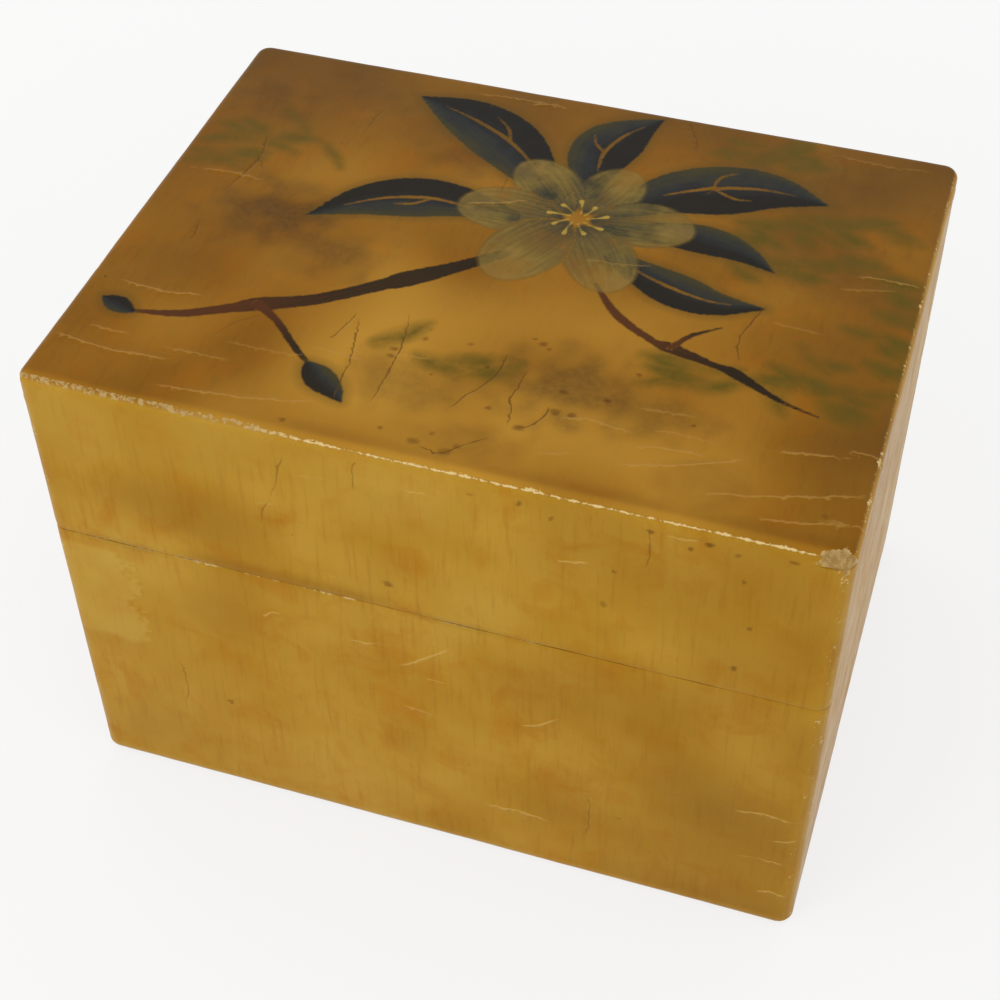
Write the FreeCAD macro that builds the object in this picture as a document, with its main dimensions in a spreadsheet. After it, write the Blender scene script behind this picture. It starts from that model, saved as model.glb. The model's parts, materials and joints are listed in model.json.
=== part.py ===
# A small writing box: a wooden box covered with lacquered paper, with a flush lift-off lid and a
# lift-out tray that holds an inkstone, a water dropper, an ink stick and a brush.
# Millimetres. X runs along the width, Y towards the back and Z up. The origin is on the underside,
# at the middle of the box.
import FreeCAD, Part
import Sketcher
import math
import os
import re

doc = FreeCAD.newDocument("WritingBox")

# Sizes that are set by themselves

sizes = doc.addObject("Spreadsheet::Sheet", "Sizes")
SET_SIZES = [
    # the box
    ("width", 120.0, "outer width, over the covering"),
    ("depth", 90.0, "outer depth, over the covering"),
    ("height", 86.0, "outer height, over the covering"),
    ("seam_height", 55.0, "height of the seam between base and lid"),
    ("wall", 6.0, "thickness of the base's side boards"),
    ("bottom_thick", 5.0, "thickness of the bottom board"),
    ("top_thick", 5.0, "thickness of the lid's top board"),
    ("lap_past", 0.5, "how far the corner laps reach in past the rounded corner"),
    ("covering", 0.5, "thickness of the lacquered paper covering"),
    ("corner_round", 2.5, "radius of the upright outer corners"),
    ("edge_round", 1.6, "radius of the top and bottom outer edges"),
    ("turn_down", 0.6, "how far the top and bottom covering reach past the rounded edge"),
    ("seam_gap", 0.1, "how far each side covering stops short of the seam"),
    ("lining", 0.4, "thickness of the paper linings"),
    ("peg", 1.6, "diameter of the bamboo pegs"),
    ("peg_long", 12.0, "length of the bamboo pegs"),
    ("peg_glue", 0.05, "glue line around a peg"),
    # the lip inside the base, and the ledges under the tray
    ("lid_fit", 0.15, "clearance between the lip and the lid's side boards"),
    ("lip", 2.0, "thickness of the lip strips"),
    ("lip_rise", 6.0, "how far the lip stands above the seam"),
    ("lip_ease", 0.5, "chamfer along the lip's outer top edge"),
    ("ledge_wide", 4.0, "width of the ledges under the tray"),
    ("ledge_tall", 5.0, "height of the ledges under the tray"),
    # the tray
    ("tray_gap", 0.5, "gap between the tray and the lip, all round"),
    ("tray_low", 0.5, "how far the tray's top lies below the lip's top"),
    ("tray_deep", 14.0, "outer height of the tray"),
    ("tray_wall", 2.5, "thickness of the tray's walls"),
    ("tray_board", 2.5, "thickness of the tray's floor"),
    ("tray_ease", 0.5, "rounding along the top edges of the tray's walls and dividers"),
    ("divider", 2.0, "thickness of the tray's dividers"),
    ("divider_low", 2.5, "how far the dividers' tops lie below the tray's top"),
    ("finger_gap", 6.0, "room for a fingertip between each end of the tray and the tool beside it"),
    ("notch_round", 9.0, "radius of the finger notches in the tray's ends"),
    ("notch_deep", 7.0, "depth of the finger notches"),
    # the inkstone
    ("stone_gap", 1.2, "gap between the inkstone and the other three sides of its bay"),
    ("stone_thick", 11.0, "thickness of the inkstone"),
    ("stone_round", 3.0, "radius of the inkstone's upright corners"),
    ("stone_rim", 3.2, "width of the inkstone's rim"),
    ("face_deep", 1.2, "depth of the grinding face below the rim"),
    ("well_deep", 6.0, "depth of the ink well below the rim"),
    ("well_long", 12.0, "length of the ink well's floor"),
    ("well_slope", 12.0, "length of the slope from the grinding face into the well"),
    ("well_round", 1.4, "radius of the upright corners inside the rim"),
    ("rim_ease", 0.6, "rounding along the inkstone's top edges"),
    # the water dropper
    ("dropper_gap", 2.0, "gap between the water dropper and the other three sides of its bay"),
    ("dropper_wide", 22.0, "width of the water dropper"),
    ("dropper_tall", 10.0, "height of the water dropper with its top plate"),
    ("dropper_round", 3.5, "radius of the water dropper's upright corners"),
    ("dropper_metal", 0.8, "thickness of the water dropper's metal"),
    ("plate_ease", 0.4, "rounding along the top plate's edge"),
    ("dropper_hole", 2.2, "diameter of the water dropper's two holes"),
    ("collar_wide", 6.0, "diameter of the raised collar around the filling hole"),
    ("collar_tall", 0.7, "height of that collar above the top plate"),
    ("spout_inset", 5.0, "distance of the pouring hole from two sides of the dropper"),
    # the ink stick
    ("tool_gap", 1.5, "gap between the brush, the ink stick and the sides of their bay"),
    ("stick_long", 58.0, "length of the ink stick"),
    ("stick_wide", 11.0, "width of the ink stick"),
    ("stick_thick", 8.0, "thickness of the ink stick"),
    ("stick_round", 1.0, "rounding of the ink stick's edges"),
    ("stick_panel", 0.4, "depth of the sunk panel on the ink stick"),
    ("stick_border", 1.8, "flat border between that panel and the rounded edges"),
    # the brush
    ("brush_ends", 2.0, "gap between each end of the brush and the tray's end wall"),
    ("brush_rest", 0.2, "gap left under the brush where it lies on the tray's floor"),
    ("handle_wide", 6.4, "diameter of the brush's bamboo handle"),
    ("ferrule_wide", 8.0, "diameter of the brush's collar and tail"),
    ("ferrule_long", 9.0, "length of the brush's collar"),
    ("flare_long", 3.0, "length of the collar's flare at the handle"),
    ("tail_long", 5.0, "length of the tail piece"),
    ("tail_tip", 3.2, "diameter of the tail piece at its very end"),
    ("tuft_long", 24.0, "length of the hair that shows"),
    ("tuft_root", 7.2, "diameter of the hair where it leaves the collar"),
    ("tuft_belly", 7.4, "diameter of the hair at its widest"),
    ("belly_from_root", 7.0, "distance of the widest place from the collar"),
    ("tuft_point", 0.5, "diameter of the hair at its point"),
]

# Sizes worked out from those above
WORKED_OUT = [
    ("core_x", "width / 2 - covering", "half the wooden core's width"),
    ("core_y", "depth / 2 - covering", "half the wooden core's depth"),
    ("room_x", "core_x - wall", "half the clear width between the base's side boards"),
    ("room_y", "core_y - wall", "half the clear depth between the base's side boards"),
    ("nest_x", "room_x - lip", "half the clear width inside the lip"),
    ("nest_y", "room_y - lip", "half the clear depth inside the lip"),
    ("core_round", "corner_round - covering", "radius of the wooden core's upright corners"),
    ("core_edge", "edge_round - covering", "radius of the wooden core's top and bottom edges"),
    ("roll", "edge_round + turn_down", "height of the top and bottom covering's turned-over sides"),
    ("tongue", "core_round + lap_past", "what is left of a long board where it laps over a short one"),
    ("floor_top", "covering + bottom_thick", "top of the bottom board"),
    ("lid_under", "height - covering - top_thick", "underside of the lid's top board"),
    ("lid_wall", "wall - lid_fit", "thickness of the lid's side boards"),
    ("lip_top", "seam_height + lip_rise", "top of the lip"),
    ("tray_x", "nest_x - tray_gap", "half the tray's outer width"),
    ("tray_y", "nest_y - tray_gap", "half the tray's outer depth"),
    ("tray_top", "lip_top - tray_low", "top of the tray's walls"),
    ("tray_under", "tray_top - tray_deep", "underside of the tray"),
    ("bed", "tray_under + tray_board", "top of the tray's floor, where the tools lie"),
    ("tray_rise", "tray_top - bed", "height of the tray's walls above its floor"),
    ("bay_x", "tray_x - tray_wall", "half the clear width inside the tray"),
    ("bay_y", "tray_y - tray_wall", "half the clear depth inside the tray"),
    ("front_bay", "ferrule_wide + stick_wide + 3 * tool_gap", "depth of the bay along the front"),
    ("side_bay", "dropper_gap + dropper_wide + finger_gap", "width of the water dropper's bay"),
    ("rear_bay", "2 * bay_y - front_bay - divider", "depth of the two bays behind the long divider"),
    ("rear_mid", "bay_y - rear_bay / 2", "middle of those two bays, along Y"),
    ("long_divider_y", "front_bay - bay_y", "front face of the long divider"),
    ("cross_divider_x", "bay_x - side_bay - divider", "left face of the cross divider"),
    ("stone_bay", "2 * bay_x - side_bay - divider", "width of the inkstone's bay"),
    ("stone_long", "stone_bay - stone_gap - finger_gap", "length of the inkstone"),
    ("stone_wide", "rear_bay - 2 * stone_gap", "width of the inkstone"),
    ("dropper_long", "rear_bay - 2 * dropper_gap", "length of the water dropper"),
    ("vessel_tall", "dropper_tall - dropper_metal", "height of the water dropper without its top plate"),
    ("brush_long", "2 * (bay_x - brush_ends)", "length of the brush from tail to point"),
    ("brush_y", "tool_gap + ferrule_wide / 2 - bay_y", "the brush's axis, along Y"),
    ("brush_z", "bed + brush_rest + ferrule_wide / 2", "the brush's axis, along Z"),
    ("stick_y", "long_divider_y - tool_gap - stick_wide / 2", "middle of the ink stick, along Y"),
]

for row, (alias, number, meaning) in enumerate(SET_SIZES, start=1):
    sizes.set(f"A{row}", meaning)
    sizes.set(f"B{row}", str(number))
    sizes.setAlias(f"B{row}", alias)
for row, (alias, formula, meaning) in enumerate(WORKED_OUT, start=len(SET_SIZES) + 2):
    sizes.set(f"A{row}", meaning)
    sizes.set(f"B{row}", "=" + formula)
    sizes.setAlias(f"B{row}", alias)
doc.recompute()
ALIASES = {alias for alias, *_ in SET_SIZES + WORKED_OUT}


def bind(thing, field, formula):
    """Ties a field to a formula in the names of the sheet."""
    tied = re.sub(r"[a-z_]+", lambda word: f"Sizes.{word[0]}" if word[0] in ALIASES else word[0], formula)
    thing.setExpression(field, tied)


def place(thing, x="0", y="0", z="0"):
    for axis, formula in (("x", x), ("y", y), ("z", z)):
        bind(thing, f"Placement.Base.{axis}", formula)


# Ways to draw, raise and cut a piece


def new_body(label):
    body = doc.addObject("PartDesign::Body", label)
    body.Label = label
    return body


def sketch_on(body, role):
    """A sketch on one of the body's own origin planes."""
    sketch = body.newObject("Sketcher::SketchObject", "Outline")
    plane = next(p for p in body.Origin.OriginFeatures if p.Role == role)
    sketch.AttachmentSupport = [(plane, "")]
    sketch.MapMode = "FlatFace"
    return sketch


def draw_outline(sketch, corners):
    """A closed outline of straight lines, each corner given as two formulas."""
    count = len(corners)
    first = sketch.GeometryCount
    turn = 2 * math.pi / count
    rough = [FreeCAD.Vector(10 * math.cos(turn * i), 10 * math.sin(turn * i), 0) for i in range(count)]
    for i in range(count):
        sketch.addGeometry(Part.LineSegment(rough[i], rough[(i + 1) % count]))
    for i in range(count):
        sketch.addConstraint(Sketcher.Constraint("Coincident", first + i, 2, first + (i + 1) % count, 1))
    for i, (x, y) in enumerate(corners):
        for kind, number, formula in (("DistanceX", rough[i].x, x), ("DistanceY", rough[i].y, y)):
            made = sketch.addConstraint(Sketcher.Constraint(kind, -1, 1, first + i, 1, number))
            bind(sketch, f"Constraints[{made}]", formula)


def draw_rectangle(sketch, long, wide):
    """A rectangle about the sketch's origin."""
    x, y = f"({long}) / 2", f"({wide}) / 2"
    draw_outline(sketch, [(f"-{x}", f"-{y}"), (x, f"-{y}"), (x, y), (f"-{x}", y)])


def draw_circle(sketch, x, y, radius):
    circle = sketch.addGeometry(Part.Circle(FreeCAD.Vector(1, 1, 0), FreeCAD.Vector(0, 0, 1), 1))
    for kind, formula in (("DistanceX", x), ("DistanceY", y)):
        made = sketch.addConstraint(Sketcher.Constraint(kind, -1, 1, circle, 3, 1.0))
        bind(sketch, f"Constraints[{made}]", formula)
    made = sketch.addConstraint(Sketcher.Constraint("Radius", circle, 1.0))
    bind(sketch, f"Constraints[{made}]", radius)


def pad(body, sketch, length):
    made = body.newObject("PartDesign::Pad", "Pad")
    made.Profile = sketch
    bind(made, "Length", length)


def pocket(body, sketch, length, both_ways=False, upwards=False):
    made = body.newObject("PartDesign::Pocket", "Pocket")
    made.Profile = sketch
    made.Midplane = both_ways
    made.Reversed = upwards
    bind(made, "Length", length)


def ease(body, kind, size, wanted):
    """Rounds (Fillet) or chamfers (Chamfer) the edges of the body so far that wanted() picks."""
    doc.recompute()
    last = body.Tip
    box = last.Shape.BoundBox
    picked = [f"Edge{i}" for i, edge in enumerate(last.Shape.Edges, start=1) if wanted(edge.BoundBox, box)]
    made = body.newObject(f"PartDesign::{kind}", kind)
    made.Base = (last, picked)
    bind(made, "Radius" if kind == "Fillet" else "Size", size)


# Which edges of a piece: edge and box are the bounds of the edge and of the whole piece

NEAR = 1e-4


def runs_up(edge):
    return edge.XLength < NEAR and edge.YLength < NEAR


def at_top(edge, box):
    return abs(edge.ZMin - box.ZMax) < NEAR


def at_bottom(edge, box):
    return abs(edge.ZMax - box.ZMin) < NEAR


def at_corner(edge, box):
    outer_x = min(abs(edge.XMin - box.XMin), abs(edge.XMax - box.XMax)) < NEAR
    outer_y = min(abs(edge.YMin - box.YMin), abs(edge.YMax - box.YMax)) < NEAR
    return runs_up(edge) and outer_x and outer_y


def along_top(edge, box):
    """A top edge along the piece's longer side."""
    if box.XLength > box.YLength:
        return at_top(edge, box) and edge.XLength > box.XLength / 2
    return at_top(edge, box) and edge.YLength > box.YLength / 2


def outer_edge(edge, box):
    return at_corner(edge, box) or at_top(edge, box) or at_bottom(edge, box)


# Shapes that come back

PIECES = []


def keep(piece):
    """Marks a piece as one that is written out."""
    PIECES.append(piece)
    return piece


def board(label, long, wide, thick, x="0", y="0", z="0"):
    """A rectangular board centred on x and y, with its underside at z."""
    body = new_body(label)
    sketch = sketch_on(body, "XY_Plane")
    draw_rectangle(sketch, long, wide)
    pad(body, sketch, thick)
    place(body, x, y, z)
    return body


def eased_board(label, long, wide, thick, x="0", y="0", z="0"):
    """A board of the tray, with its two long top edges rounded."""
    body = board(label, long, wide, thick, x, y, z)
    ease(body, "Fillet", "tray_ease", along_top)
    return body


def rounded_block(label, long, wide, tall, corner, z, rim=None, rim_edges=None):
    """A block with round upright corners and, where asked, a round rim at its top or bottom."""
    body = board(label, long, wide, tall, z=z)
    ease(body, "Fillet", corner, at_corner)
    if rim:
        ease(body, "Fillet", rim, rim_edges)
    return body


def cut(label, base, tool):
    made = doc.addObject("Part::Cut", label)
    made.Label = label
    made.Base = base
    made.Tool = tool
    return made


def gather(label, shapes):
    made = doc.addObject("Part::Compound", label)
    made.Label = label
    made.Links = shapes
    return made


# Bamboo pegs and the holes that they sit in


def rod(radius, long, axis, x, y, z):
    made = doc.addObject("Part::Cylinder", "Rod")
    turn = FreeCAD.Rotation(FreeCAD.Vector(0, 0, 1), FreeCAD.Vector(*axis))
    made.Placement = FreeCAD.Placement(FreeCAD.Vector(), turn)
    bind(made, "Radius", radius)
    bind(made, "Height", long)
    place(made, x, y, z)
    return made


def box_pegs(label, rows, low, high, lap, start, up, thick):
    """All the pegs of the base or the lid, kept as one node. Gives their holes.

    At each corner, rows of pegs between the heights low and high go in along X through the short
    board's end, in the middle of the lap. More pegs go from the height start through the top or
    bottom board, upwards (1) or downwards (-1), into the middle of the side boards, which are thick.
    """
    spots = []
    for end in (-1, 1):
        for row in range(rows):
            z = f"{low} + ({high} - {low}) * {(row + 0.5) / rows}"
            spots += [((-end, 0, 0), f"{end} * core_x", f"{back} * {lap}", z) for back in (-1, 1)]
        for share in (-0.75, -0.25, 0.25, 0.75):
            spots.append(((0, 0, up), f"{share} * room_x", f"{end} * (core_y - {thick} / 2)", start))
        for share in (-0.5, 0.5):
            spots.append(((0, 0, up), f"{end} * (core_x - {thick} / 2)", f"{share} * room_y", start))

    pegs, holes = [], []
    for axis, *spot in spots:
        pegs.append(rod("peg / 2", "peg_long", axis, *spot))
        further_out = [f"{at} - ({step}) * covering" for at, step in zip(spot, axis)]
        holes.append(rod("peg / 2 + peg_glue", "peg_long + covering + peg_glue", axis, *further_out))
    keep(gather(f"{label}_pegs", pegs))
    return gather(f"{label}_holes", holes)


# The side boards of the base or the lid


def lapped_board(label, thick, tall, z, side):
    """A long board whose ends lap over the short boards: the front one (-1) or the back one (1)."""
    body = new_body(label)
    sketch = sketch_on(body, "XY_Plane")
    shoulder = f"(core_x - {thick})"
    half = [("core_x", "0"), ("core_x", "tongue"), (shoulder, "tongue"), (shoulder, thick)]
    outline = half + [(f"-{x}", y) for x, y in reversed(half)]
    draw_outline(sketch, [(x, f"{-side} * {y}") for x, y in outline])
    pad(body, sketch, tall)

    def outer_corner(edge, box):
        outer_face = box.YMin if side < 0 else box.YMax
        return at_corner(edge, box) and abs(edge.YMin - outer_face) < NEAR

    ease(body, "Fillet", "core_round", outer_corner)
    place(body, y=f"{side} * core_y", z=z)
    return body


def side_boards(name, thick, tall, z, holes):
    """The front, back, left and right boards, drilled for their pegs."""
    blanks = {}
    for side, sign in (("front", -1), ("back", 1)):
        blanks[side] = lapped_board(f"{name}_{side}_blank", thick, tall, z, sign)
    for side, sign in (("left", -1), ("right", 1)):
        x = f"{sign} * (core_x - {thick} / 2)"
        blanks[side] = board(f"{name}_{side}_blank", thick, "2 * (core_y - tongue)", tall, x=x, z=z)
    for side, blank in blanks.items():
        keep(cut(f"{name}_{side}_wall", blank, holes))


def flat_board(label, thick, z, rim_edges, holes):
    """The top or bottom board, rounded like the finished box and drilled for its pegs."""
    size = ("2 * core_x", "2 * core_y", thick)
    blank = rounded_block(f"{label}_blank", *size, "core_round", z, "core_edge", rim_edges)
    keep(cut(label, blank, holes))


# The lacquered covering


def side_covering(label, low, high):
    """A band of covering around all four sides."""
    tall = f"{high} - ({low})"
    outer = rounded_block(f"{label}_outer", "width", "depth", tall, "corner_round", low)
    inner = rounded_block(f"{label}_inner", "2 * core_x", "2 * core_y", tall, "core_round", low)
    keep(cut(label, outer, inner))


def end_covering(label, low, inner_low, rim_edges):
    """A sheet of covering over the top or the bottom, turned over the edge onto the sides."""
    size = ("width", "depth", "roll")
    outer = rounded_block(f"{label}_outer", *size, "corner_round", low, "edge_round", rim_edges)
    size = ("2 * core_x", "2 * core_y", "roll - covering")
    inner = rounded_block(f"{label}_inner", *size, "core_round", inner_low, "core_edge", rim_edges)
    keep(cut(label, outer, inner))


# The lip and the ledges


def lip_strip(label, half_long, outward, turn):
    """A lip strip, mitred at both ends, that stands on the bottom board against a side board. Its
    outer face is half_long to each side of its middle, which outward gives as x and y."""
    body = new_body(label)
    sketch = sketch_on(body, "XY_Plane")
    inner = f"({half_long} - lip)"
    draw_outline(sketch, [(f"-{half_long}", "0"), (half_long, "0"), (inner, "lip"), (f"-{inner}", "lip")])
    pad(body, sketch, "lip_top - floor_top")

    def outer_top(edge, box):
        return at_top(edge, box) and abs(edge.YMax - box.YMin) < NEAR

    ease(body, "Chamfer", "lip_ease", outer_top)
    body.Placement = FreeCAD.Placement(FreeCAD.Vector(), FreeCAD.Rotation(FreeCAD.Vector(0, 0, 1), turn))
    place(body, *outward, "floor_top")
    keep(body)


# The base

base_lap = "(core_y - tongue / 2 - wall / 2)"
base_holes = box_pegs("base", 3, "floor_top", "seam_height", base_lap, "covering", 1, "wall")
side_boards("base", "wall", "seam_height - floor_top", "floor_top", base_holes)
flat_board("bottom_board", "bottom_thick", "covering", at_bottom, base_holes)

lip_strip("front_lip", "room_x", ("0", "-room_y"), 0)
lip_strip("right_lip", "room_y", ("room_x", "0"), 90)
lip_strip("back_lip", "room_x", ("0", "room_y"), 180)
lip_strip("left_lip", "room_y", ("-room_x", "0"), -90)
for name, sign in (("front", -1), ("back", 1)):
    ledge_size = ("2 * nest_x", "ledge_wide", "ledge_tall")
    middle = f"{sign} * (nest_y - ledge_wide / 2)"
    keep(board(f"{name}_ledge", *ledge_size, y=middle, z="tray_under - ledge_tall"))

keep(board("floor_lining", "2 * nest_x", "2 * nest_y", "lining", z="floor_top"))
side_covering("base_side_covering", "roll", "seam_height - seam_gap")
end_covering("bottom_covering", "0", "covering", at_bottom)

# The lid

lid_lap = "(core_y - tongue / 2 - lid_wall / 2)"
lid_holes = box_pegs("lid", 2, "seam_height", "lid_under", lid_lap, "height - covering", -1, "lid_wall")
side_boards("lid", "lid_wall", "lid_under - seam_height", "seam_height", lid_holes)
flat_board("top_board", "top_thick", "lid_under", at_top, lid_holes)

lid_room = ("2 * (core_x - lid_wall)", "2 * (core_y - lid_wall)")
keep(board("lid_lining", *lid_room, "lining", z="lid_under - lining"))
side_covering("lid_side_covering", "seam_height + seam_gap", "height - roll")
end_covering("top_covering", "height - roll", "height - roll", at_top)

# The tray

keep(board("tray_floor", "2 * tray_x", "2 * tray_y", "tray_board", z="tray_under"))
for name, sign in (("front", -1), ("back", 1)):
    middle = f"{sign} * (tray_y - tray_wall / 2)"
    keep(eased_board(f"tray_{name}_wall", "2 * tray_x", "tray_wall", "tray_rise", y=middle, z="bed"))
for name, sign in (("left", -1), ("right", 1)):
    middle = f"{sign} * (tray_x - tray_wall / 2)"
    end_wall = eased_board(f"tray_{name}_wall", "tray_wall", "2 * bay_y", "tray_rise", x=middle, z="bed")
    notch = sketch_on(end_wall, "YZ_Plane")
    draw_circle(notch, "0", "tray_rise + notch_round - notch_deep", "notch_round")
    pocket(end_wall, notch, "2 * tray_wall", both_ways=True)
    keep(end_wall)

divider_tall = "tray_rise - divider_low"
middle = "long_divider_y + divider / 2"
keep(eased_board("long_divider", "2 * bay_x", "divider", divider_tall, y=middle, z="bed"))
middle = "cross_divider_x + divider / 2"
keep(eased_board("cross_divider", "divider", "rear_bay", divider_tall, x=middle, y="rear_mid", z="bed"))


def inkstone():
    """A slab whose grinding face, sunk inside a rim, slopes down to a well at the left."""
    stone = rounded_block("inkstone", "stone_long", "stone_wide", "stone_thick", "stone_round", "bed")
    hollow = sketch_on(stone, "XZ_Plane")
    end = "(stone_long / 2 - stone_rim)"
    above, face, floor = "stone_thick + rim_ease", "stone_thick - face_deep", "stone_thick - well_deep"
    well = [(f"-{end}", above), (f"-{end}", floor), (f"well_long - {end}", floor)]
    grinding_face = [(f"well_long + well_slope - {end}", face), (end, face), (end, above)]
    draw_outline(hollow, well + grinding_face)
    pocket(stone, hollow, "stone_wide - 2 * stone_rim", both_ways=True)

    def inside_corner(edge, box):
        return runs_up(edge) and box.XMin + NEAR < edge.XMin < box.XMax - NEAR and not at_corner(edge, box)

    def in_the_hollow(edge, box):
        return inside_corner(edge, box) and box.YMin + NEAR < edge.YMin < box.YMax - NEAR and edge.ZMin > NEAR

    ease(stone, "Fillet", "well_round", in_the_hollow)
    ease(stone, "Fillet", "rim_ease", at_top)
    place(stone, "stone_long / 2 + finger_gap - bay_x", "rear_mid", "bed")
    keep(stone)


def water_dropper():
    """A flat metal vessel under a top plate, which has a filling hole in a collar and a pouring hole."""
    middle = ("bay_x - finger_gap - dropper_wide / 2", "rear_mid")
    inner_size = ("dropper_wide - 2 * dropper_metal", "dropper_long - 2 * dropper_metal")
    outer = rounded_block("vessel_outer", "dropper_wide", "dropper_long", "vessel_tall", "dropper_round", "0")
    inner_round = "dropper_round - dropper_metal"
    inner = rounded_block("vessel_inner", *inner_size, "vessel_tall", inner_round, "dropper_metal")
    vessel = cut("dropper_vessel", outer, inner)
    place(vessel, *middle, "bed")
    keep(vessel)

    size = ("dropper_wide", "dropper_long", "dropper_metal")
    plate = rounded_block("dropper_plate", *size, "dropper_round", "0", "plate_ease", at_top)
    collar = sketch_on(plate, "XY_Plane")
    draw_circle(collar, "0", "0", "collar_wide / 2")
    pad(plate, collar, "dropper_metal + collar_tall")
    holes = sketch_on(plate, "XY_Plane")
    draw_circle(holes, "0", "0", "dropper_hole / 2")
    draw_circle(holes, "spout_inset - dropper_wide / 2", "spout_inset - dropper_long / 2", "dropper_hole / 2")
    pocket(plate, holes, "dropper_metal + collar_tall", upwards=True)
    place(plate, *middle, "bed + vessel_tall")
    keep(plate)


def ink_stick():
    """A rounded bar with a sunk panel along its upper face."""
    stick = board("ink_stick", "stick_long", "stick_wide", "stick_thick", y="stick_y", z="bed")
    ease(stick, "Fillet", "stick_round", outer_edge)
    panel = sketch_on(stick, "XY_Plane")
    edge = "2 * (stick_round + stick_border)"
    draw_rectangle(panel, f"stick_long - {edge}", f"stick_wide - {edge}")
    bind(panel, "AttachmentOffset.Base.z", "stick_thick - stick_panel")
    pocket(stick, panel, "2 * stick_panel", upwards=True)
    keep(stick)


def turned(label, stations):
    """A piece of the brush, turned about its axis from pairs of formulas for x and diameter."""
    body = new_body(label)
    sketch = sketch_on(body, "XZ_Plane")
    profile = [(x, f"({across}) / 2") for x, across in stations]
    draw_outline(sketch, [(stations[0][0], "0"), *profile, (stations[-1][0], "0")])
    made = body.newObject("PartDesign::Revolution", "Revolution")
    made.Profile = sketch
    made.ReferenceAxis = (sketch, ["H_Axis"])
    made.Angle = 360
    place(body, "0", "brush_y", "brush_z")
    keep(body)


def brush():
    """The brush lies along X with its hair to the right."""
    tail_end = "(tail_long - brush_long / 2)"
    tuft_start = "(brush_long / 2 - tuft_long)"
    ferrule_start = f"({tuft_start} - ferrule_long)"
    tail_middle = f"{tail_end} - tail_long / 2"
    flare_end = f"{ferrule_start} + flare_long"
    narrow, wide = "handle_wide", "ferrule_wide"
    turned("brush_tail", [("-brush_long / 2", "tail_tip"), (tail_middle, wide), (tail_end, narrow)])
    turned("brush_handle", [(tail_end, narrow), (ferrule_start, narrow)])
    turned("brush_ferrule", [(ferrule_start, narrow), (flare_end, wide), (tuft_start, wide)])

    # The hair swells beyond the collar and then draws in to a point
    long = sizes.tuft_long
    across = ((0, sizes.tuft_root), (sizes.belly_from_root, sizes.tuft_belly), (long, sizes.tuft_point))
    points = [FreeCAD.Vector(x, 0, diameter / 2) for x, diameter in across]
    side = Part.BSplineCurve()
    side.interpolate(points)
    rim = [FreeCAD.Vector(long, 0, 0), FreeCAD.Vector(0, 0, 0), points[0]]
    edges = [side.toShape(), Part.makeLine(points[-1], rim[0])]
    edges += [Part.makeLine(rim[0], rim[1]), Part.makeLine(rim[1], rim[2])]
    tuft = doc.addObject("Part::Feature", "brush_tuft")
    tuft.Label = "brush_tuft"
    tuft.Shape = Part.Face(Part.Wire(edges)).revolve(rim[1], FreeCAD.Vector(1, 0, 0), 360)
    place(tuft, tuft_start, "brush_y", "brush_z")
    keep(tuft)


inkstone()
water_dropper()
ink_stick()
brush()

# Check every object, then write each piece out

doc.recompute()
for thing in doc.Objects:
    if "Invalid" in thing.State or "Error" in thing.State:
        raise RuntimeError(f"{thing.Label} failed: {thing.State}")
for piece in PIECES:
    if piece.Shape.isNull() or not piece.Shape.isValid() or not piece.Shape.Solids:
        raise RuntimeError(f"{piece.Label} has no valid solid")
os.makedirs("parts", exist_ok=True)
for piece in PIECES:
    piece.Shape.exportStep(f"parts/{piece.Label}.step")
    print(f"{piece.Label}: {len(piece.Shape.Solids)} solids, {piece.Shape.Volume:.1f} mm3")
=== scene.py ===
import json
import math
import random

import bmesh
import bpy
import numpy as np
from mathutils import Matrix, Vector, noise

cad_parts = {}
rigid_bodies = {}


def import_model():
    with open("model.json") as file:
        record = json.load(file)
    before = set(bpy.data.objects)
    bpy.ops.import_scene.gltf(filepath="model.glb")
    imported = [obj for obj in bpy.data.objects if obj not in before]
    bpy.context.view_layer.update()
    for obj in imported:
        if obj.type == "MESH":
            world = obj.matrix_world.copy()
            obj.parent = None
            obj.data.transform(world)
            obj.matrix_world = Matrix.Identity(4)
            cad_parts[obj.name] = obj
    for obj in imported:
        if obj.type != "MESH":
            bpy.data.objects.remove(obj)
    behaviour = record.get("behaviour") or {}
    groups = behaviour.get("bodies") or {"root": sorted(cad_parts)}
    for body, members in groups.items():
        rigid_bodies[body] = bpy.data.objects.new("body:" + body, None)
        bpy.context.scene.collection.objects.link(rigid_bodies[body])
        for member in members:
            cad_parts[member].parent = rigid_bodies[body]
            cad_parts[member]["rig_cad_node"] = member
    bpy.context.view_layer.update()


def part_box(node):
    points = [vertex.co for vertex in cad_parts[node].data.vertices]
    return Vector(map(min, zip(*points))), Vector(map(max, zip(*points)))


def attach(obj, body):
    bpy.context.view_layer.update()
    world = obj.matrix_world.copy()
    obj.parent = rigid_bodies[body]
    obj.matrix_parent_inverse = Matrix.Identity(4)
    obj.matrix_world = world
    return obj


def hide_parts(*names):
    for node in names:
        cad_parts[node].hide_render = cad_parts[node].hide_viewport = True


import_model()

mm = 0.001
shelf = bpy.context.scene.collection    # new objects are put here
# on the flat sheet round the sides, the right side, back and left side follow the front this many mm apart
unrolled = 200
# how far in mm from a brush stroke, and from a thin line, its fields are worked out
strokeRoom, lineRoom = 3.0, 1.5


# Small helpers

def paint(code):
    # sRGB hex to the linear colour that a node takes
    parts = [int(code[i:i + 2], 16) / 255 for i in (1, 3, 5)]
    return (*(p / 12.92 if p <= 0.04045 else ((p + 0.055) / 1.055) ** 2.4 for p in parts), 1)


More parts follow.
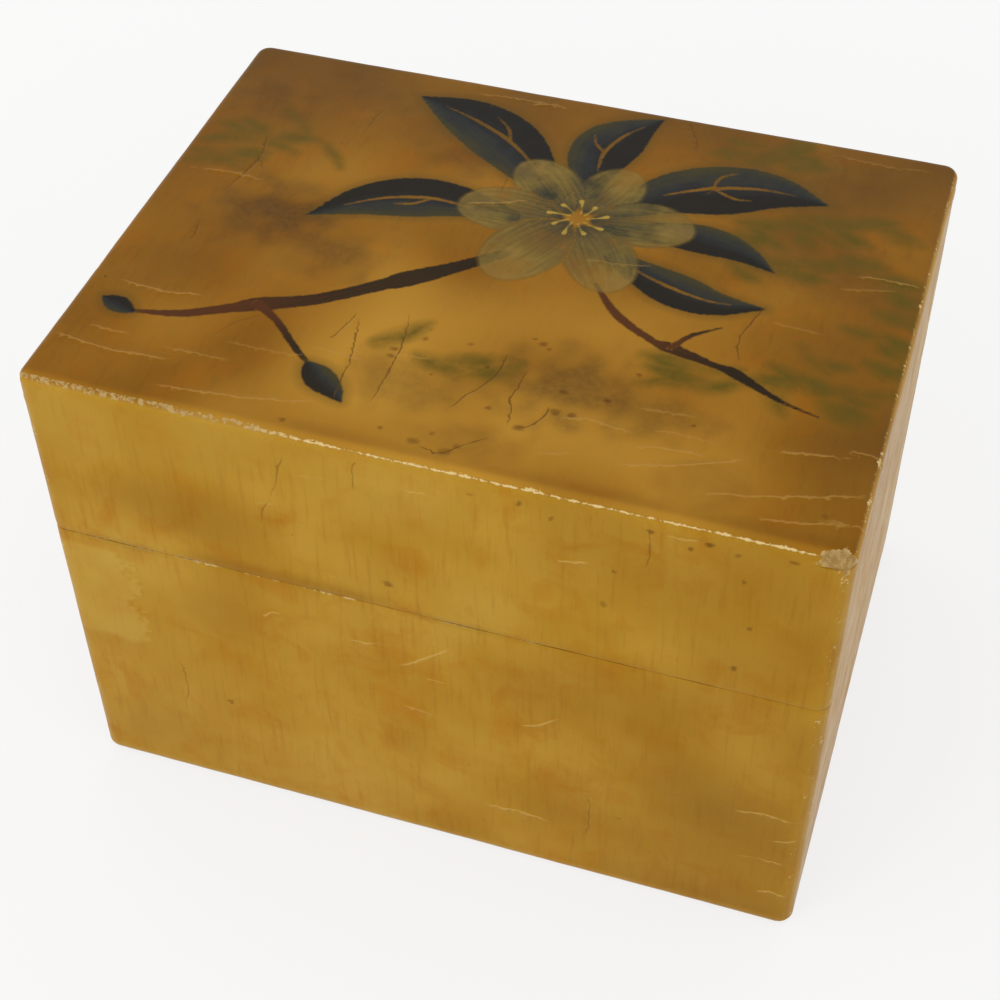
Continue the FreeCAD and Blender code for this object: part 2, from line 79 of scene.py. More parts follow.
def add(tree, kind, inputs=None, **settings):
    # one node: inputs maps a socket's name or number to a value or to another node's output
    made = tree.nodes.new("ShaderNode" + kind)
    for key, value in settings.items():
        setattr(made, key, value)
    for key, value in (inputs or {}).items():
        if isinstance(value, bpy.types.NodeSocket):
            tree.links.new(value, made.inputs[key])
        else:
            made.inputs[key].default_value = value
    return made


def freshMaterial(name):
    # an empty material, its tree and the object's own coordinates in metres
    made = bpy.data.materials.new(name)
    made.use_nodes = True
    tree = made.node_tree
    tree.nodes.clear()
    where = add(tree, "TexCoord").outputs["Object"]
    return made, tree, where


def smoothStep(low, high, values):
    t = np.clip((values - low) / (high - low), 0, 1)
    return t * t * (3 - 2 * t)


def cloud(places, size, seed):
    # soft random numbers, about -1 to 1, whose bumps are size across
    shift = Vector((seed * 7.31, seed * 3.17, seed * 5.73))
    toOne = 1.6
    return np.array([noise.noise(Vector(p) / size + shift) for p in places]) * toOne


def curved(stations, steps=6):
    # a smooth path through given stations (x, y, half width) in millimetres
    p = np.array([stations[0], *stations, stations[-1]], dtype=float)
    found = []
    for i in range(1, len(p) - 2):
        for k in range(steps):
            t = k / steps
            found.append((2 * p[i] + (p[i + 1] - p[i - 1]) * t
                          + (2 * p[i - 1] - 5 * p[i] + 4 * p[i + 1] - p[i + 2]) * t ** 2
                          + (3 * p[i] - p[i - 1] - 3 * p[i + 1] + p[i + 2]) * t ** 3) / 2)
    found.append(p[-2])
    return np.array(found)


def inStroke(flat, stations):
    # for a stroke of the painting brush: how deep each place lies in it (below 0 outside it), how far
    # along it, 0 to 1, and where across the brush, -1 to 1
    path = curved(stations)
    depth, along, across = np.full(len(flat), -strokeRoom), np.zeros(len(flat)), np.zeros(len(flat))
    reach = path[:, 2].max() + strokeRoom
    low, high = path[:, :2].min(0) - reach, path[:, :2].max(0) + reach
    near = np.where(((flat > low) & (flat < high)).all(1))[0]
    spots = flat[near]
    for i in range(len(path) - 1):
        start, run = path[i, :2], path[i + 1, :2] - path[i, :2]
        t = np.clip((spots - start) @ run / max(run @ run, 1e-9), 0, 1)
        off = spots - start - t[:, None] * run
        half = path[i, 2] + t * (path[i + 1, 2] - path[i, 2])
        inside = half - np.linalg.norm(off, axis=1)
        better = inside > depth[near]
        here = near[better]
        depth[here] = inside[better]
        along[here] = (i + t[better]) / (len(path) - 1)
        lean = (run[0] * off[better, 1] - run[1] * off[better, 0]) / np.linalg.norm(run)
        across[here] = np.clip(lean / half[better], -1.5, 1.5)
    return depth, along, across


def overlaid(flat, strokes, edge):
    # several strokes as one layer of paint: the later one lies on top, with its edge kept
    depth, along, across = np.full(len(flat), -strokeRoom), np.zeros(len(flat)), np.zeros(len(flat))
    for stations in strokes:
        inside, far, lean = inStroke(flat, stations)
        upper = (inside > edge) | (inside > depth)
        depth, along = np.where(upper, inside, depth), np.where(upper, far, along)
        across = np.where(upper, lean, across)
    return depth, along, across


def thinLines(flat, lines):
    # for hair-thin marks: how far each place lies to the side of the nearest line, with a sign, so that it
    # stays exact between vertices, and how strong that line is there, 0 to 1, fading at both its ends
    side, near, best = np.full(len(flat), lineRoom), np.zeros(len(flat)), np.full(len(flat), lineRoom)
    fullStrength = 8    # the first lines of a list are the plainest ones, and the others differ
    for number, places in enumerate(lines):
        strength = 1 if number < fullStrength else .4 + .6 * (number * .618 % 1)
        path = curved([(x, y, 0) for x, y in places], 4)[:, :2]
        low, high = path.min(0) - lineRoom, path.max(0) + lineRoom
        picked = np.where(((flat > low) & (flat < high)).all(1))[0]
        spots = flat[picked]
        for i in range(len(path) - 1):
            start, run = path[i], path[i + 1] - path[i]
            t = np.clip((spots - start) @ run / max(run @ run, 1e-9), 0, 1)
            off = spots - start - t[:, None] * run
            gap = np.linalg.norm(off, axis=1)
            closer = gap < best[picked]
            here = picked[closer]
            along = (i + t[closer]) / (len(path) - 1)
            best[here] = gap[closer]
            side[here] = gap[closer] * np.sign(run[0] * off[closer, 1] - run[1] * off[closer, 0])
            near[here] = (smoothStep(lineRoom - .1, .6, gap[closer]) * smoothStep(-.02, .2, along)
                          * smoothStep(1.02, .8, along) * strength)
    return side, near


def tornLines(flat, lines, small, grain):
    # dry paper splits and folds in small steps: a line wanders, swells and breaks off
    wander = np.column_stack((.28 * small + .2 * grain, .28 * grain - .16 * small))
    side, near = thinLines(flat + wander, lines)
    swell = 1 + 1.3 * smoothStep(.1, .8, grain)
    return side / swell, near * smoothStep(-1, -.45, small)


def hump(line, halfWidth):
    # a soft ridge over a thin line, 0 to 1
    side, near = line
    return near * np.exp(-(side / halfWidth) ** 2)


def strayLines(dice, count, low, high, length, slope, bend):
    # short random lines inside a rectangle, for wrinkles and cracks that aren't placed by hand
    found = []
    for _ in range(count):
        x, y = dice.uniform(low[0], high[0]), dice.uniform(low[1], high[1])
        reach, turn = dice.uniform(*length), slope + dice.gauss(0, .09)
        steps = max(2, round(reach / 3))
        line = [(x, y)]
        for _ in range(steps):
            turn += dice.gauss(0, bend)
            x, y = line[-1]
            line.append((x + math.cos(turn) * reach / steps, y + math.sin(turn) * reach / steps))
        found.append(line)
    return found


def finishPiece(name, bm, material, body, replaced):
    # a bmesh becomes a piece at the origin that rides on its CAD body
    mesh = bpy.data.meshes.new(name)
    bm.to_mesh(mesh)
    bm.free()
    mesh.shade_smooth()
    mesh.set_sharp_from_angle(angle=math.radians(50))    # the turned-in rims keep a crisp edge
    mesh.materials.append(material)
    piece = bpy.data.objects.new(name, mesh)
    shelf.objects.link(piece)
    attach(piece, body)
    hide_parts(*replaced)
    print(name, "has", len(mesh.polygons), "faces")


def giveFields(bm, fields):
    # numbers per vertex, which the material reads as attributes; what is extruded later takes them along
    for name, values in fields.items():
        layer = bm.verts.layers.float.new(name)
        for vert, value in zip(bm.verts, values):
            vert[layer] = value


# The covering: paper pasted over the wooden core in one folded sheet above, one below and two bands.
# corner and edge are the radii of the box's upright and level arrises, thick is how far the paper turns in at
# a rim, sunk the most that its relief may go in, turnUp, slopeIn and slopeUp shape a folded sheet's back, and
# each step is the distance between a sheet's vertices

covering = {"corner": 2.5 * mm, "edge": 1.6 * mm, "thick": 0.5 * mm, "sunk": 0.4 * mm, "turnUp": 0.4 * mm,
            "slopeIn": 1.2 * mm, "slopeUp": 1.0 * mm, "topStep": 0.36 * mm, "lidStep": 0.36 * mm,
            "lidStepUp": 0.38 * mm, "baseStep": 0.5 * mm, "bottomStep": 0.8 * mm}


def foldedSheet(low, high, step, upwards):
    # a flat grid laid on the top (or under the bottom) and folded down (or up) at its border;
    # gives the bmesh, each vertex's normal and its place on the flat sheet in millimetres
    corner, edge = covering["corner"], covering["edge"]
    flatX, flatY = (high.x - low.x) / 2 - corner, (high.y - low.y) / 2 - corner
    brim = corner - edge
    arc = edge * math.pi / 2
    border = brim + arc + (high.z - low.z - edge)
    wide, deep = flatX + border, flatY + border
    bm = bmesh.new()
    bmesh.ops.create_grid(bm, x_segments=round(2 * wide / step), y_segments=round(2 * deep / step), size=0.5,
                          matrix=Matrix.Diagonal((2 * wide, 2 * deep, 1, 1)))
    normals, flat = [], []
    for vert in bm.verts:
        s, t = vert.co.x, vert.co.y
        past = Vector((math.copysign(max(abs(s) - flatX, 0), s), math.copysign(max(abs(t) - flatY, 0), t), 0))
        far = max(abs(past.x), abs(past.y))
        way = past.normalized()
        turn = min(max(far - brim, 0) / edge, math.pi / 2)
        out = min(far, brim) + edge * math.sin(turn)
        drop = edge * (1 - math.cos(turn)) + max(far - brim - arc, 0)
        vert.co = Vector((s, t, 0)) - past + way * out
        vert.co.z = high.z - drop if upwards else low.z + drop
        normals.append(way * math.sin(turn) + Vector((0, 0, math.cos(turn) * (1 if upwards else -1))))
        flat.append((s / mm, t / mm))
    return bm, np.array(normals), np.array(flat)


def closeSheet(bm, half, upwards):
    # the border turns in under the sheet, and one flat face closes the inside
    rim = [e for e in bm.edges if e.is_boundary]
    steps = ((covering["thick"], 0), (0, covering["turnUp"]), (covering["slopeIn"], covering["slopeUp"]))
    for inset, rise in steps:
        grown = bmesh.ops.extrude_edge_only(bm, edges=rim)["geom"]
        rim = [g for g in grown if isinstance(g, bmesh.types.BMEdge) and g.is_boundary]
        shrink = Matrix.Diagonal((1 - inset / half.x, 1 - inset / half.y, 1, 1))
        verts = [g for g in grown if isinstance(g, bmesh.types.BMVert)]
        bmesh.ops.transform(bm, matrix=shrink, verts=verts)
        bmesh.ops.translate(bm, vec=(0, 0, rise if upwards else -rise), verts=verts)
    bmesh.ops.edgeloop_fill(bm, edges=rim)
    bmesh.ops.recalc_face_normals(bm, faces=bm.faces)


def wrappedBand(low, high, stepAlong, stepUp):
    # a flat grid wrapped round the four sides and joined at the middle of the back;
    # gives the bmesh, each vertex's normal and its place in millimetres, along from the front's middle and up
    corner = covering["corner"]
    flatX, flatY = (high.x - low.x) / 2 - corner, (high.y - low.y) / 2 - corner
    arc = corner * math.pi / 2
    around = 4 * (flatX + flatY + arc)
    bm = bmesh.new()
    bmesh.ops.create_grid(bm, x_segments=round(around / stepAlong),
                          y_segments=round((high.z - low.z) / stepUp), size=0.5,
                          matrix=Matrix.Diagonal((around, high.z - low.z, 1, 1)))
    halfBack, side, bend = (flatX, False), (2 * flatY, False), (arc, True)
    route = (halfBack, bend, side, bend, (2 * flatX, False), bend, side, bend, halfBack)
    for vert in bm.verts:
        run, up = vert.co.x + around / 2, (low.z + high.z) / 2 + vert.co.y
        turn = math.pi / 2
        spot = Vector((0, flatY, 0))
        for stretch, bent in route:
            used = min(run, stretch)
            run -= used
            if bent:
                turn += used / corner
            else:
                spot += Vector((-math.sin(turn), math.cos(turn), 0)) * used
        vert.co = spot + Vector((math.cos(turn), math.sin(turn), 0)) * corner + Vector((0, 0, up))
    bmesh.ops.remove_doubles(bm, verts=bm.verts, dist=0.001 * mm)
    normals, flat = [], []
    for vert in bm.verts:
        x, y, z = vert.co
        past = Vector((math.copysign(max(abs(x) - flatX, 0), x), math.copysign(max(abs(y) - flatY, 0), y), 0))
        normals.append(past.normalized())
        sideways = abs(past.x) > abs(past.y)
        if sideways:
            along = unrolled + y / mm if x > 0 else 3 * unrolled - y / mm
        else:
            along = x / mm if y < 0 else 2 * unrolled - x / mm
        flat.append((along, z / mm))
    return bm, np.array(normals), np.array(flat)


def closeBand(bm, half):
    # both rims turn in, and a plain wall joins them inside
    thick = covering["thick"]
    rims = [e for e in bm.edges if e.is_boundary]
    grown = bmesh.ops.extrude_edge_only(bm, edges=rims)["geom"]
    shrink = Matrix.Diagonal((1 - thick / half.x, 1 - thick / half.y, 1, 1))
    bmesh.ops.transform(bm, matrix=shrink, verts=[g for g in grown if isinstance(g, bmesh.types.BMVert)])
    inner = [g for g in grown if isinstance(g, bmesh.types.BMEdge) and g.is_boundary]
    bmesh.ops.bridge_loops(bm, edges=inner)
    bmesh.ops.recalc_face_normals(bm, faces=bm.faces)


def sink(bm, normals, depth):
    # moves each vertex along its normal; depth is in millimetres, 0 or less, and stays in the paper's room
    room = np.clip(depth, -covering["sunk"] / mm, 0)
    for vert, normal, d in zip(bm.verts, normals, room):
        vert.co += Vector(normal) * (d * mm)


# The painted spray on the lid: leaves, a twig, a bloom and soft foliage, as strokes on the flat sheet. A
# stroke is its stations (x, y, half width) in millimetres, a bundle is its middle, slope, count, spread and
# boldness, and a smudge is its middle, reach and strength. The touches in a bundle differ by chance within
# touchLong and touchWide and turn by about touchTurn, and touch is how wide one is along its length

heartX, heartY = 6, 13.4    # the middle of the bloom


def stamen(turn, reach):
    # a fine thread that leans a little and ends in a dot
    steps = ((1.4, 1.3, 0, .18), (3.1, 2.9, .12, .14), (reach, reach * .92, .2, .42))
    return [(heartX + wide * math.cos(turn + lean), heartY + deep * math.sin(turn + lean), half)
            for wide, deep, lean, half in steps]


spray = {
    "leaves": [
        [(0, 18, 1.5), (-6, 25, 4.6), (-12, 30.5, 6.0), (-19, 34.5, 4.6), (-28, 37.5, .15)],
        [(6, 20, 1.5), (4.6, 28, 4.4), (5.5, 33.5, 5.4), (8, 38, 3.4), (12, 42.8, .15)],
        [(12, 17, 1.5), (18, 23.5, 4.8), (25.5, 27, 6.2), (33, 29, 4.2), (42, 28, .15)],
        [(-4, 11, 1.5), (-13, 12, 3.8), (-20, 11, 5.0), (-27, 8, 3.6), (-34, 2, .15)],
        [(12, 7, 1), (19, 3.4, 2.8), (25, 1, 3.8), (31, -.2, 2.6), (38, .8, .15)],
        [(11, 12, 1), (19, 13.6, 2.6), (26, 14, 3.4), (32, 12.6, 2.2), (37.5, 9.4, .15)],
    ],
    "veins": [
        [(-3, 23, .1), (-10, 29.6, .38), (-17, 33.6, .3), (-23, 36, .08)],
        [(5.6, 26, .1), (5.2, 31, .34), (7, 36.4, .26), (9.6, 40, .08)],
        [(17, 23, .1), (24, 27, .4), (31, 28.9, .3), (37, 29, .08)],
        [(-10, 11, .1), (-17, 11.6, .36), (-24, 9.6, .28), (-29.5, 6, .08)],
        [(17, 4.2, .1), (23, 1.7, .3), (29, .2, .22), (33, .2, .08)],
        [(-10, 29.6, .2), (-11.4, 33, .26), (-14, 35.5, .06)],
        [(24, 27, .2), (27.5, 25.4, .28), (30.5, 25.6, .06)],
        [(-17, 11.6, .2), (-19.6, 9.4, .26), (-22.4, 8.6, .06)],
        [(5.2, 31, .2), (3.2, 33.4, .24), (2.4, 35.6, .06)],
        [(24, 27, .2), (24.6, 30.2, .24), (27, 32, .06)],
    ],
    "petals": [
        [(7, 16, 1.2), (8.6, 20, 4.8), (9.8, 23.4, 4.4), (10.6, 26.4, 1.2)],
        [(4, 15, 1.2), (.5, 19, 5.0), (-2.4, 22, 4.6), (-5.4, 24, 1.4)],
        [(9, 13.5, 1.2), (14.5, 14.6, 5.2), (19, 15, 4.8), (22.6, 14.2, 1.4)],
        [(3, 12.5, 1.2), (-3, 12.4, 5.2), (-7.8, 12.4, 4.8), (-11.4, 11.2, 1.3)],
        [(7.5, 11, 1.2), (11, 6.2, 5.4), (13.4, 2.2, 4.8), (14.4, -1, 1.2)],
        [(4.6, 11, 1.4), (1.6, 5.8, 5.8), (-.6, 1.4, 5.4), (-1.6, -2.6, 1.4)],
    ],
    "stamens": [stamen(turn, reach) for turn, reach in ((.2, 4.6), (.9, 4.1), (1.5, 4.8), (2.2, 4.2),
                                                        (2.9, 4.7), (3.6, 4.0), (4.3, 4.6), (5.0, 4.2),
                                                        (5.7, 4.5))],
    "twigs": [
        [(-50, -27, .35), (-43, -25.5, .8), (-36, -22, 1.05), (-33, -20.2, 1.5), (-25, -16.5, 1.2),
         (-17, -10.5, 1.35), (-14, -8.2, 1.8), (-8, -3.4, 1.3), (-2, 2.0, .9)],
        [(-33, -20.2, .9), (-29, -22.6, .6), (-24, -27.5, .55), (-20.5, -30.4, .3)],
        [(13, -1, .3), (18, -7, .75), (24.5, -11, .62), (27, -11.6, 1.1), (34, -13.4, .58), (37, -14.2, .95),
         (44, -17.8, .42), (50, -19.6, .12)],
        [(27, -11.6, .5), (29.4, -8, .4), (33, -5.2, .14)],
    ],
    "buds": [[(-20.8, -30.4, .8), (-18.4, -32.4, 2.3), (-15.6, -34.4, 1.5), (-13.6, -36.2, .15)],
             [(-50, -27, .6), (-52.6, -26.2, 1.7), (-55.4, -25.2, .15)]],
    "touch": ((0, .4), (.35, 1), (.7, .9), (1, .15)), "touchLong": (5, 10), "touchWide": (.6, 1.5),
    "touchTurn": .3, "touchBend": .25, "seed": 7,
    "bundles": [((42, 17), -.3, 22, (26, 18), 1.5), ((49, -6), -.6, 18, (16, 22), 1.3),
                ((-42, 16), 2.7, 12, (18, 12), 1), ((-6, -24), .3, 8, (18, 7), 1),
                ((30, -18), -.2, 8, (14, 8), 1.2), ((30, 38), .1, 7, (18, 6), 1.6)],
    "smudges": [((-38, 1), 8.5, .75), ((-27, -6), 6, .5), ((16, -24), 9, .6), ((29, -26), 6, .4),
                ((-14, 24), 6, .45), ((36, 36), 10, .4), ((-52, 30), 7, .5), ((-36, 34), 8, .35),
                ((44, 14), 11, .3), ((-6, -30), 7, .35)],
}


def dabField(flat, dice):
    # bundles of short soft touches of a flat brush
    depth = np.full(len(flat), -strokeRoom)
    for (x, y), slope, count, (wide, deep), bold in spray["bundles"]:
        for _ in range(count):
            startX, startY = x + dice.uniform(-wide, wide) / 2, y + dice.uniform(-deep, deep) / 2
            turn, reach = slope + dice.gauss(0, spray["touchTurn"]), dice.uniform(*spray["touchLong"])
            half = bold * dice.uniform(*spray["touchWide"])
            stations = []
            for t, width in spray["touch"]:
                bent = turn + t * spray["touchBend"]
                stations.append((startX + math.cos(bent) * reach * t, startY + math.sin(bent) * reach * t,
                                 half * width))
            depth = np.maximum(depth, inStroke(flat, stations)[0])
    return depth


def smudgeField(flat, grain):
    # washes rubbed in with a nearly dry brush
    found = np.zeros(len(flat))
    for (x, y), reach, strength in spray["smudges"]:
        far = np.hypot((flat[:, 0] - x) / 1.4, flat[:, 1] - y) / reach
        found = np.maximum(found, strength * smoothStep(1.25, .1, far + .35 * grain))
    return found


# Wrinkles, cracks and stains of the covering, listed one by one where they show most and placed by seeded
# chance elsewhere, in millimetres on the flat sheet

topMarks = {
    "ridges": [[(-59, -34.7), (-49, -35.8), (-39.5, -35.2)], [(-40.7, -40.8), (-28, -39.6), (-16.2, -37.2)],
               [(15.8, -30.2), (21, -29.6), (26.6, -30.2)], [(25.5, -36.9), (34, -34.5), (42.7, -30.6)],
               [(37.5, -38.7), (48, -36.2), (59.6, -32.4)], [(27, -33.2), (32, -31.8), (37, -31.6)],
               [(44, -28), (50, -27.2), (56, -26)], [(46, -41), (52, -40), (58, -38.6)],
               [(-55, -21), (-47, -21.6), (-41, -20.6)], [(-57, 8), (-50, 8.6), (-44, 8.2)],
               [(-34, -29), (-27, -29.4), (-22, -28.6)], [(49, 12), (55, 12.6), (59, 12.2)],
               [(-20, 41), (-10, 41.6), (-3, 41)], [(40, 41.5), (48, 40.8), (56, 41.4)]],
    "cracks": [[(-17.6, -18.4), (-16.3, -23.6), (-15.6, -28.1), (-15.2, -33.5), (-15, -36.2)],
               [(-11.1, -15.2), (-9.9, -21.2), (-9.6, -26.3), (-9.7, -31.5), (-10, -35.3)],
               [(5.2, -19.1), (5.2, -23.8), (2.8, -29), (.7, -33.3)],
               [(9.1, -22.1), (8.8, -27.4), (9.9, -34)],
               [(14.6, -28.6), (13.9, -31.1), (11.2, -34.3)],
               [(-.4, -41), (2.7, -41.6), (5.4, -38.8), (8.3, -36.8)],
               [(38, 2), (36, -6), (37, -12)], [(-48, 20), (-47, 12), (-49, 4)]],
    "strayRidges": 14, "strayCracks": 9, "seed": 31,
}
# brown stains on the top, most of them along its cracks: place and reach
topSpots = [(-7, -20.3, .9), (-6.7, -18, .5), (-.2, -19.2, .7), (9.5, -16.2, 1.1), (10.7, -17.1, .7),
            (8, -15.4, .5), (3.4, -23.3, .5), (15.2, -25, 1.2), (6.3, -31.4, .8), (-3.6, -27.1, .5),
            (21.5, -25, .9), (24.2, -18.4, .7), (-1.4, -40.6, 1.5), (3.3, -41.2, 1.7), (4.5, -39.8, 1.2),
            (11.5, -33.8, 1.3), (-20.1, -42, .8), (-6.8, -39.4, .5), (.4, -38.5, .7), (15.2, -29.2, 1.4),
            (17.7, -29.3, 1.2), (-10.2, -25, 1), (-10.3, -23.5, .8), (34.2, -26.3, .6), (54.5, -37.9, .7)]
# the front's marks, in millimetres along from its middle and up from the table
frontMarks = {
    "ridges": [[(20.1, 73.4), (22.5, 73.9), (25.1, 74.6)], [(-3.9, 42.4), (0, 45.2), (4.3, 49.2)],
               [(15.3, 35.1), (18, 36.2), (21.1, 38.8)], [(48.4, 27.5), (53, 28.4), (58.1, 28)],
               [(55, 22.2), (57, 22.9), (58.6, 23.6)], [(53.9, 8.2), (56, 8.9), (58.6, 8.3)],
               [(50, 16.4), (54, 17), (57, 16.6)], [(-25.6, 45.6), (-24.4, 47.4), (-22.8, 47.6)],
               [(9, 12), (15, 12.8), (20, 12)]],
    "cracks": [[(-19.5, 85), (-20, 79), (-22.6, 72), (-24.1, 67)], [(-8.4, 84.6), (-8.9, 81.6), (-8.5, 78.4)],
               [(33, 84), (33.3, 79.5), (32.6, 76)], [(-42, 30), (-41.4, 24), (-42.2, 19)],
               [(26, 22), (26.5, 16), (25.8, 11)]],
    "strayRidges": 7, "seed": 12, "halfWide": 61,
}
# brown spots on the front: place and reach
sideSpots = [(-4.8, 60.4, 1.1), (27.2, 66.9, .9), (28.2, 74, .6), (46, 78, .6), (46, 60, .6), (15, 83, .6),
             (19.4, 81.6, .5), (33, 83.2, .7), (38.5, 82, .5), (41, 83.4, .8), (44.6, 82.6, .6),
             (52, 83.6, .9), (8, 82.8, .5), (47.5, 69, .5), (-34, 22, .6), (31, 18, .6)]


def sideMarks(dice):
    # the front has its own marks and a few stray ridges, the right side, back and left side stray marks only
    ridges, cracks = list(frontMarks["ridges"]), list(frontMarks["cracks"])
    for middle, half in ((unrolled, 42), (2 * unrolled, 57), (3 * unrolled, 42)):
        ridges += strayLines(dice, half // 3, (middle - half, 3), (middle + half, 84), (4, 11), 0, .1)
        cracks += strayLines(dice, 3, (middle - half, 6), (middle + half, 74), (4, 10), 1.57, .1)
    ridges += strayLines(dice, frontMarks["strayRidges"], (-57, 4), (57, 84), (3, 6), 0, .1)
    return ridges, cracks


# Materials

def coat(tree, colour, tint, mask, none, full, most=1):
    # a further colour over the first one: nothing of it shows where the mask is at none, and it is as strong
    # as most where the mask is at full
    shown = add(tree, "MapRange", {0: mask, 1: none, 2: full, 4: most}).outputs[0]
    return add(tree, "Mix", {0: shown, 6: colour, 7: tint}, data_type="RGBA").outputs[2]


# the top's colours are deeper and browner than the sides': partly the top's own aged varnish, partly painted
# shade for the weaker light on the top
topShadedColours = {"light": "#92620e", "mid": "#875704", "deep": "#6b4203", "orange": "#985c05",
            "pale": "#c39030", "dark": "#5b3c0a", "ridge": "#b98c44"}
sideColours = {"light": "#b88c2b", "mid": "#ad7f19", "deep": "#925f06", "orange": "#ac6c05",
             "pale": "#c19d42", "dark": "#875a08", "ridge": "#cfab5c"}
# in this dictionary and the ones below, widths and heights are millimetres
# the pale colour of rubbed paper also serves as the painted highlight and glints on the top's arrises
varnishLook = {"wornAndGlint": "#e2c688", "chip": "#b5945c", "grimeAndShade": "#573207", "crack": "#5c3b10",
               "speck": "#553c12", "pit": "#7d5c2c", "rough": .34, "gloss": .08, "driftWide": 22,
               "patchWide": 7, "streakWide": .9, "fibreWide": .45, "specksApart": 13, "grainWide": .7,
               "bumpHigh": .12, "crackInner": .03, "crackOuter": .15, "ridgeInner": .06, "ridgeOuter": .24}


def varnishedPaper(name, painted):
    # thick paper under many coats of amber varnish, brushed on by hand: the eye sees soft warm clouds,
    # brush streaks that ran down the sides, fine fibres, dust specks, and pale paper where an edge is
    # rubbed through
    made, tree, where = freshMaterial(name)
    look = varnishLook
    drift = add(tree, "TexNoise", {"Vector": where, "Scale": 1 / (look["driftWide"] * mm), "Detail": 3,
                                   "Roughness": .55}).outputs[0]
    patch = add(tree, "TexNoise", {"Vector": where, "Scale": 1 / (look["patchWide"] * mm), "Detail": 5,
                                   "Roughness": .62, "Distortion": .6}).outputs[0]
    brushed = (1, .22, 1) if painted else (1, 1, .09)
    long = add(tree, "Mapping", {"Vector": where, "Scale": brushed}).outputs[0]
    streak = add(tree, "TexNoise", {"Vector": long, "Scale": 1 / (look["streakWide"] * mm), "Detail": 4,
                                    "Roughness": .6}).outputs[0]
    laid = add(tree, "Mapping", {"Vector": where, "Rotation": (.3, .2, .5), "Scale": (.25, 1, 1)}).outputs[0]
    fibre = add(tree, "TexNoise", {"Vector": laid, "Scale": 1 / (look["fibreWide"] * mm), "Detail": 3,
                                   "Roughness": .7}).outputs[0]
    # specks are drawn about 0.4 mm across, where real dust in varnish is half that
    speck = add(tree, "TexVoronoi", {"Vector": where, "Scale": 1 / (look["specksApart"] * mm),
                                     "Randomness": 1}).outputs["Distance"]
    drifted = add(tree, "MapRange", {0: drift, 1: .38, 2: .62}).outputs[0]
    patched = add(tree, "MapRange", {0: patch, 1: .48, 2: .72, 4: .6}).outputs[0]
    streaked = add(tree, "MapRange", {0: streak, 1: .52, 2: .72, 4: .22 if painted else .32}).outputs[0]
    fibred = add(tree, "MapRange", {0: fibre, 1: .56, 2: .8, 4: .25}).outputs[0]
    tone = add(tree, "Attribute", {}, attribute_name="tone").outputs["Fac"]
    paler = add(tree, "MapRange", {0: tone, 1: 0, 2: 1, 4: .75}).outputs[0]
    deeper = add(tree, "MapRange", {0: tone, 1: 0, 2: -1, 4: .75}).outputs[0]
    fold = add(tree, "Attribute", {}, attribute_name="fold").outputs["Fac"]

    # the same clouds, first in the colours of the sides and then, on the painted sheet, in the top's deeper
    # colours, which carry painted shade
    faces = []
    for shade in (sideColours, topShadedColours) if painted else (sideColours,):
        colour = add(tree, "Mix", {0: drifted, 6: paint(shade["light"]), 7: paint(shade["mid"])},
                     data_type="RGBA").outputs[2]
        for mask, tint in ((patched, "orange"), (streaked, "deep"), (fibred, "light"), (paler, "pale"),
                           (deeper, "dark")):
            colour = add(tree, "Mix", {0: mask, 6: colour, 7: paint(shade[tint])},
                         data_type="RGBA").outputs[2]
        faces.append(colour)
    if painted:
        faces[1] = paintedSpray(tree, where, faces[1])
        colour = add(tree, "Mix", {0: fold, 6: faces[1], 7: faces[0]}, data_type="RGBA").outputs[2]

    # grime, and on the bands a painted shadow along the seam
    grimeAndShade = add(tree, "Attribute", {}, attribute_name="grimeAndShade").outputs["Fac"]
    grimeAndShadeMask = add(tree, "Math", {0: grimeAndShade, 1: patch}, operation="MULTIPLY").outputs[0]
    grimeAndShadeMask = add(tree, "MapRange", {0: grimeAndShadeMask, 1: .05, 2: .6, 4: .7}).outputs[0]
    colour = add(tree, "Mix", {0: grimeAndShadeMask, 6: colour, 7: paint(look["grimeAndShade"])}, data_type="RGBA").outputs[2]
    colour = coat(tree, colour, paint(look["speck"]), speck, .024, .012, .8)
    # the pale line on each wrinkle's crest is partly the paper's own paler crest and partly a painted
    # highlight
    ridgeCrestAndHighlight = add(tree, "Mix", {0: fold, 6: paint(topShadedColours["ridge"]), 7: paint(sideColours["ridge"])},
                      data_type="RGBA").outputs[2]
    for kind, strength, line in (("crack", .75 if painted else .42, paint(look["crack"])),
                                 ("ridge", .5, ridgeCrestAndHighlight)):
        side = add(tree, "Attribute", {}, attribute_name=kind + "Side").outputs["Fac"]
        near = add(tree, "Attribute", {}, attribute_name=kind + "Near").outputs["Fac"]
        gap = add(tree, "Math", {0: side}, operation="ABSOLUTE").outputs[0]
        thin = add(tree, "MapRange", {0: gap, 1: look[kind + "Outer"], 2: look[kind + "Inner"],
                                      4: strength}).outputs[0]
        thin = add(tree, "Math", {0: thin, 1: near}, operation="MULTIPLY").outputs[0]
        colour = add(tree, "Mix", {0: thin, 6: colour, 7: line}, data_type="RGBA").outputs[2]

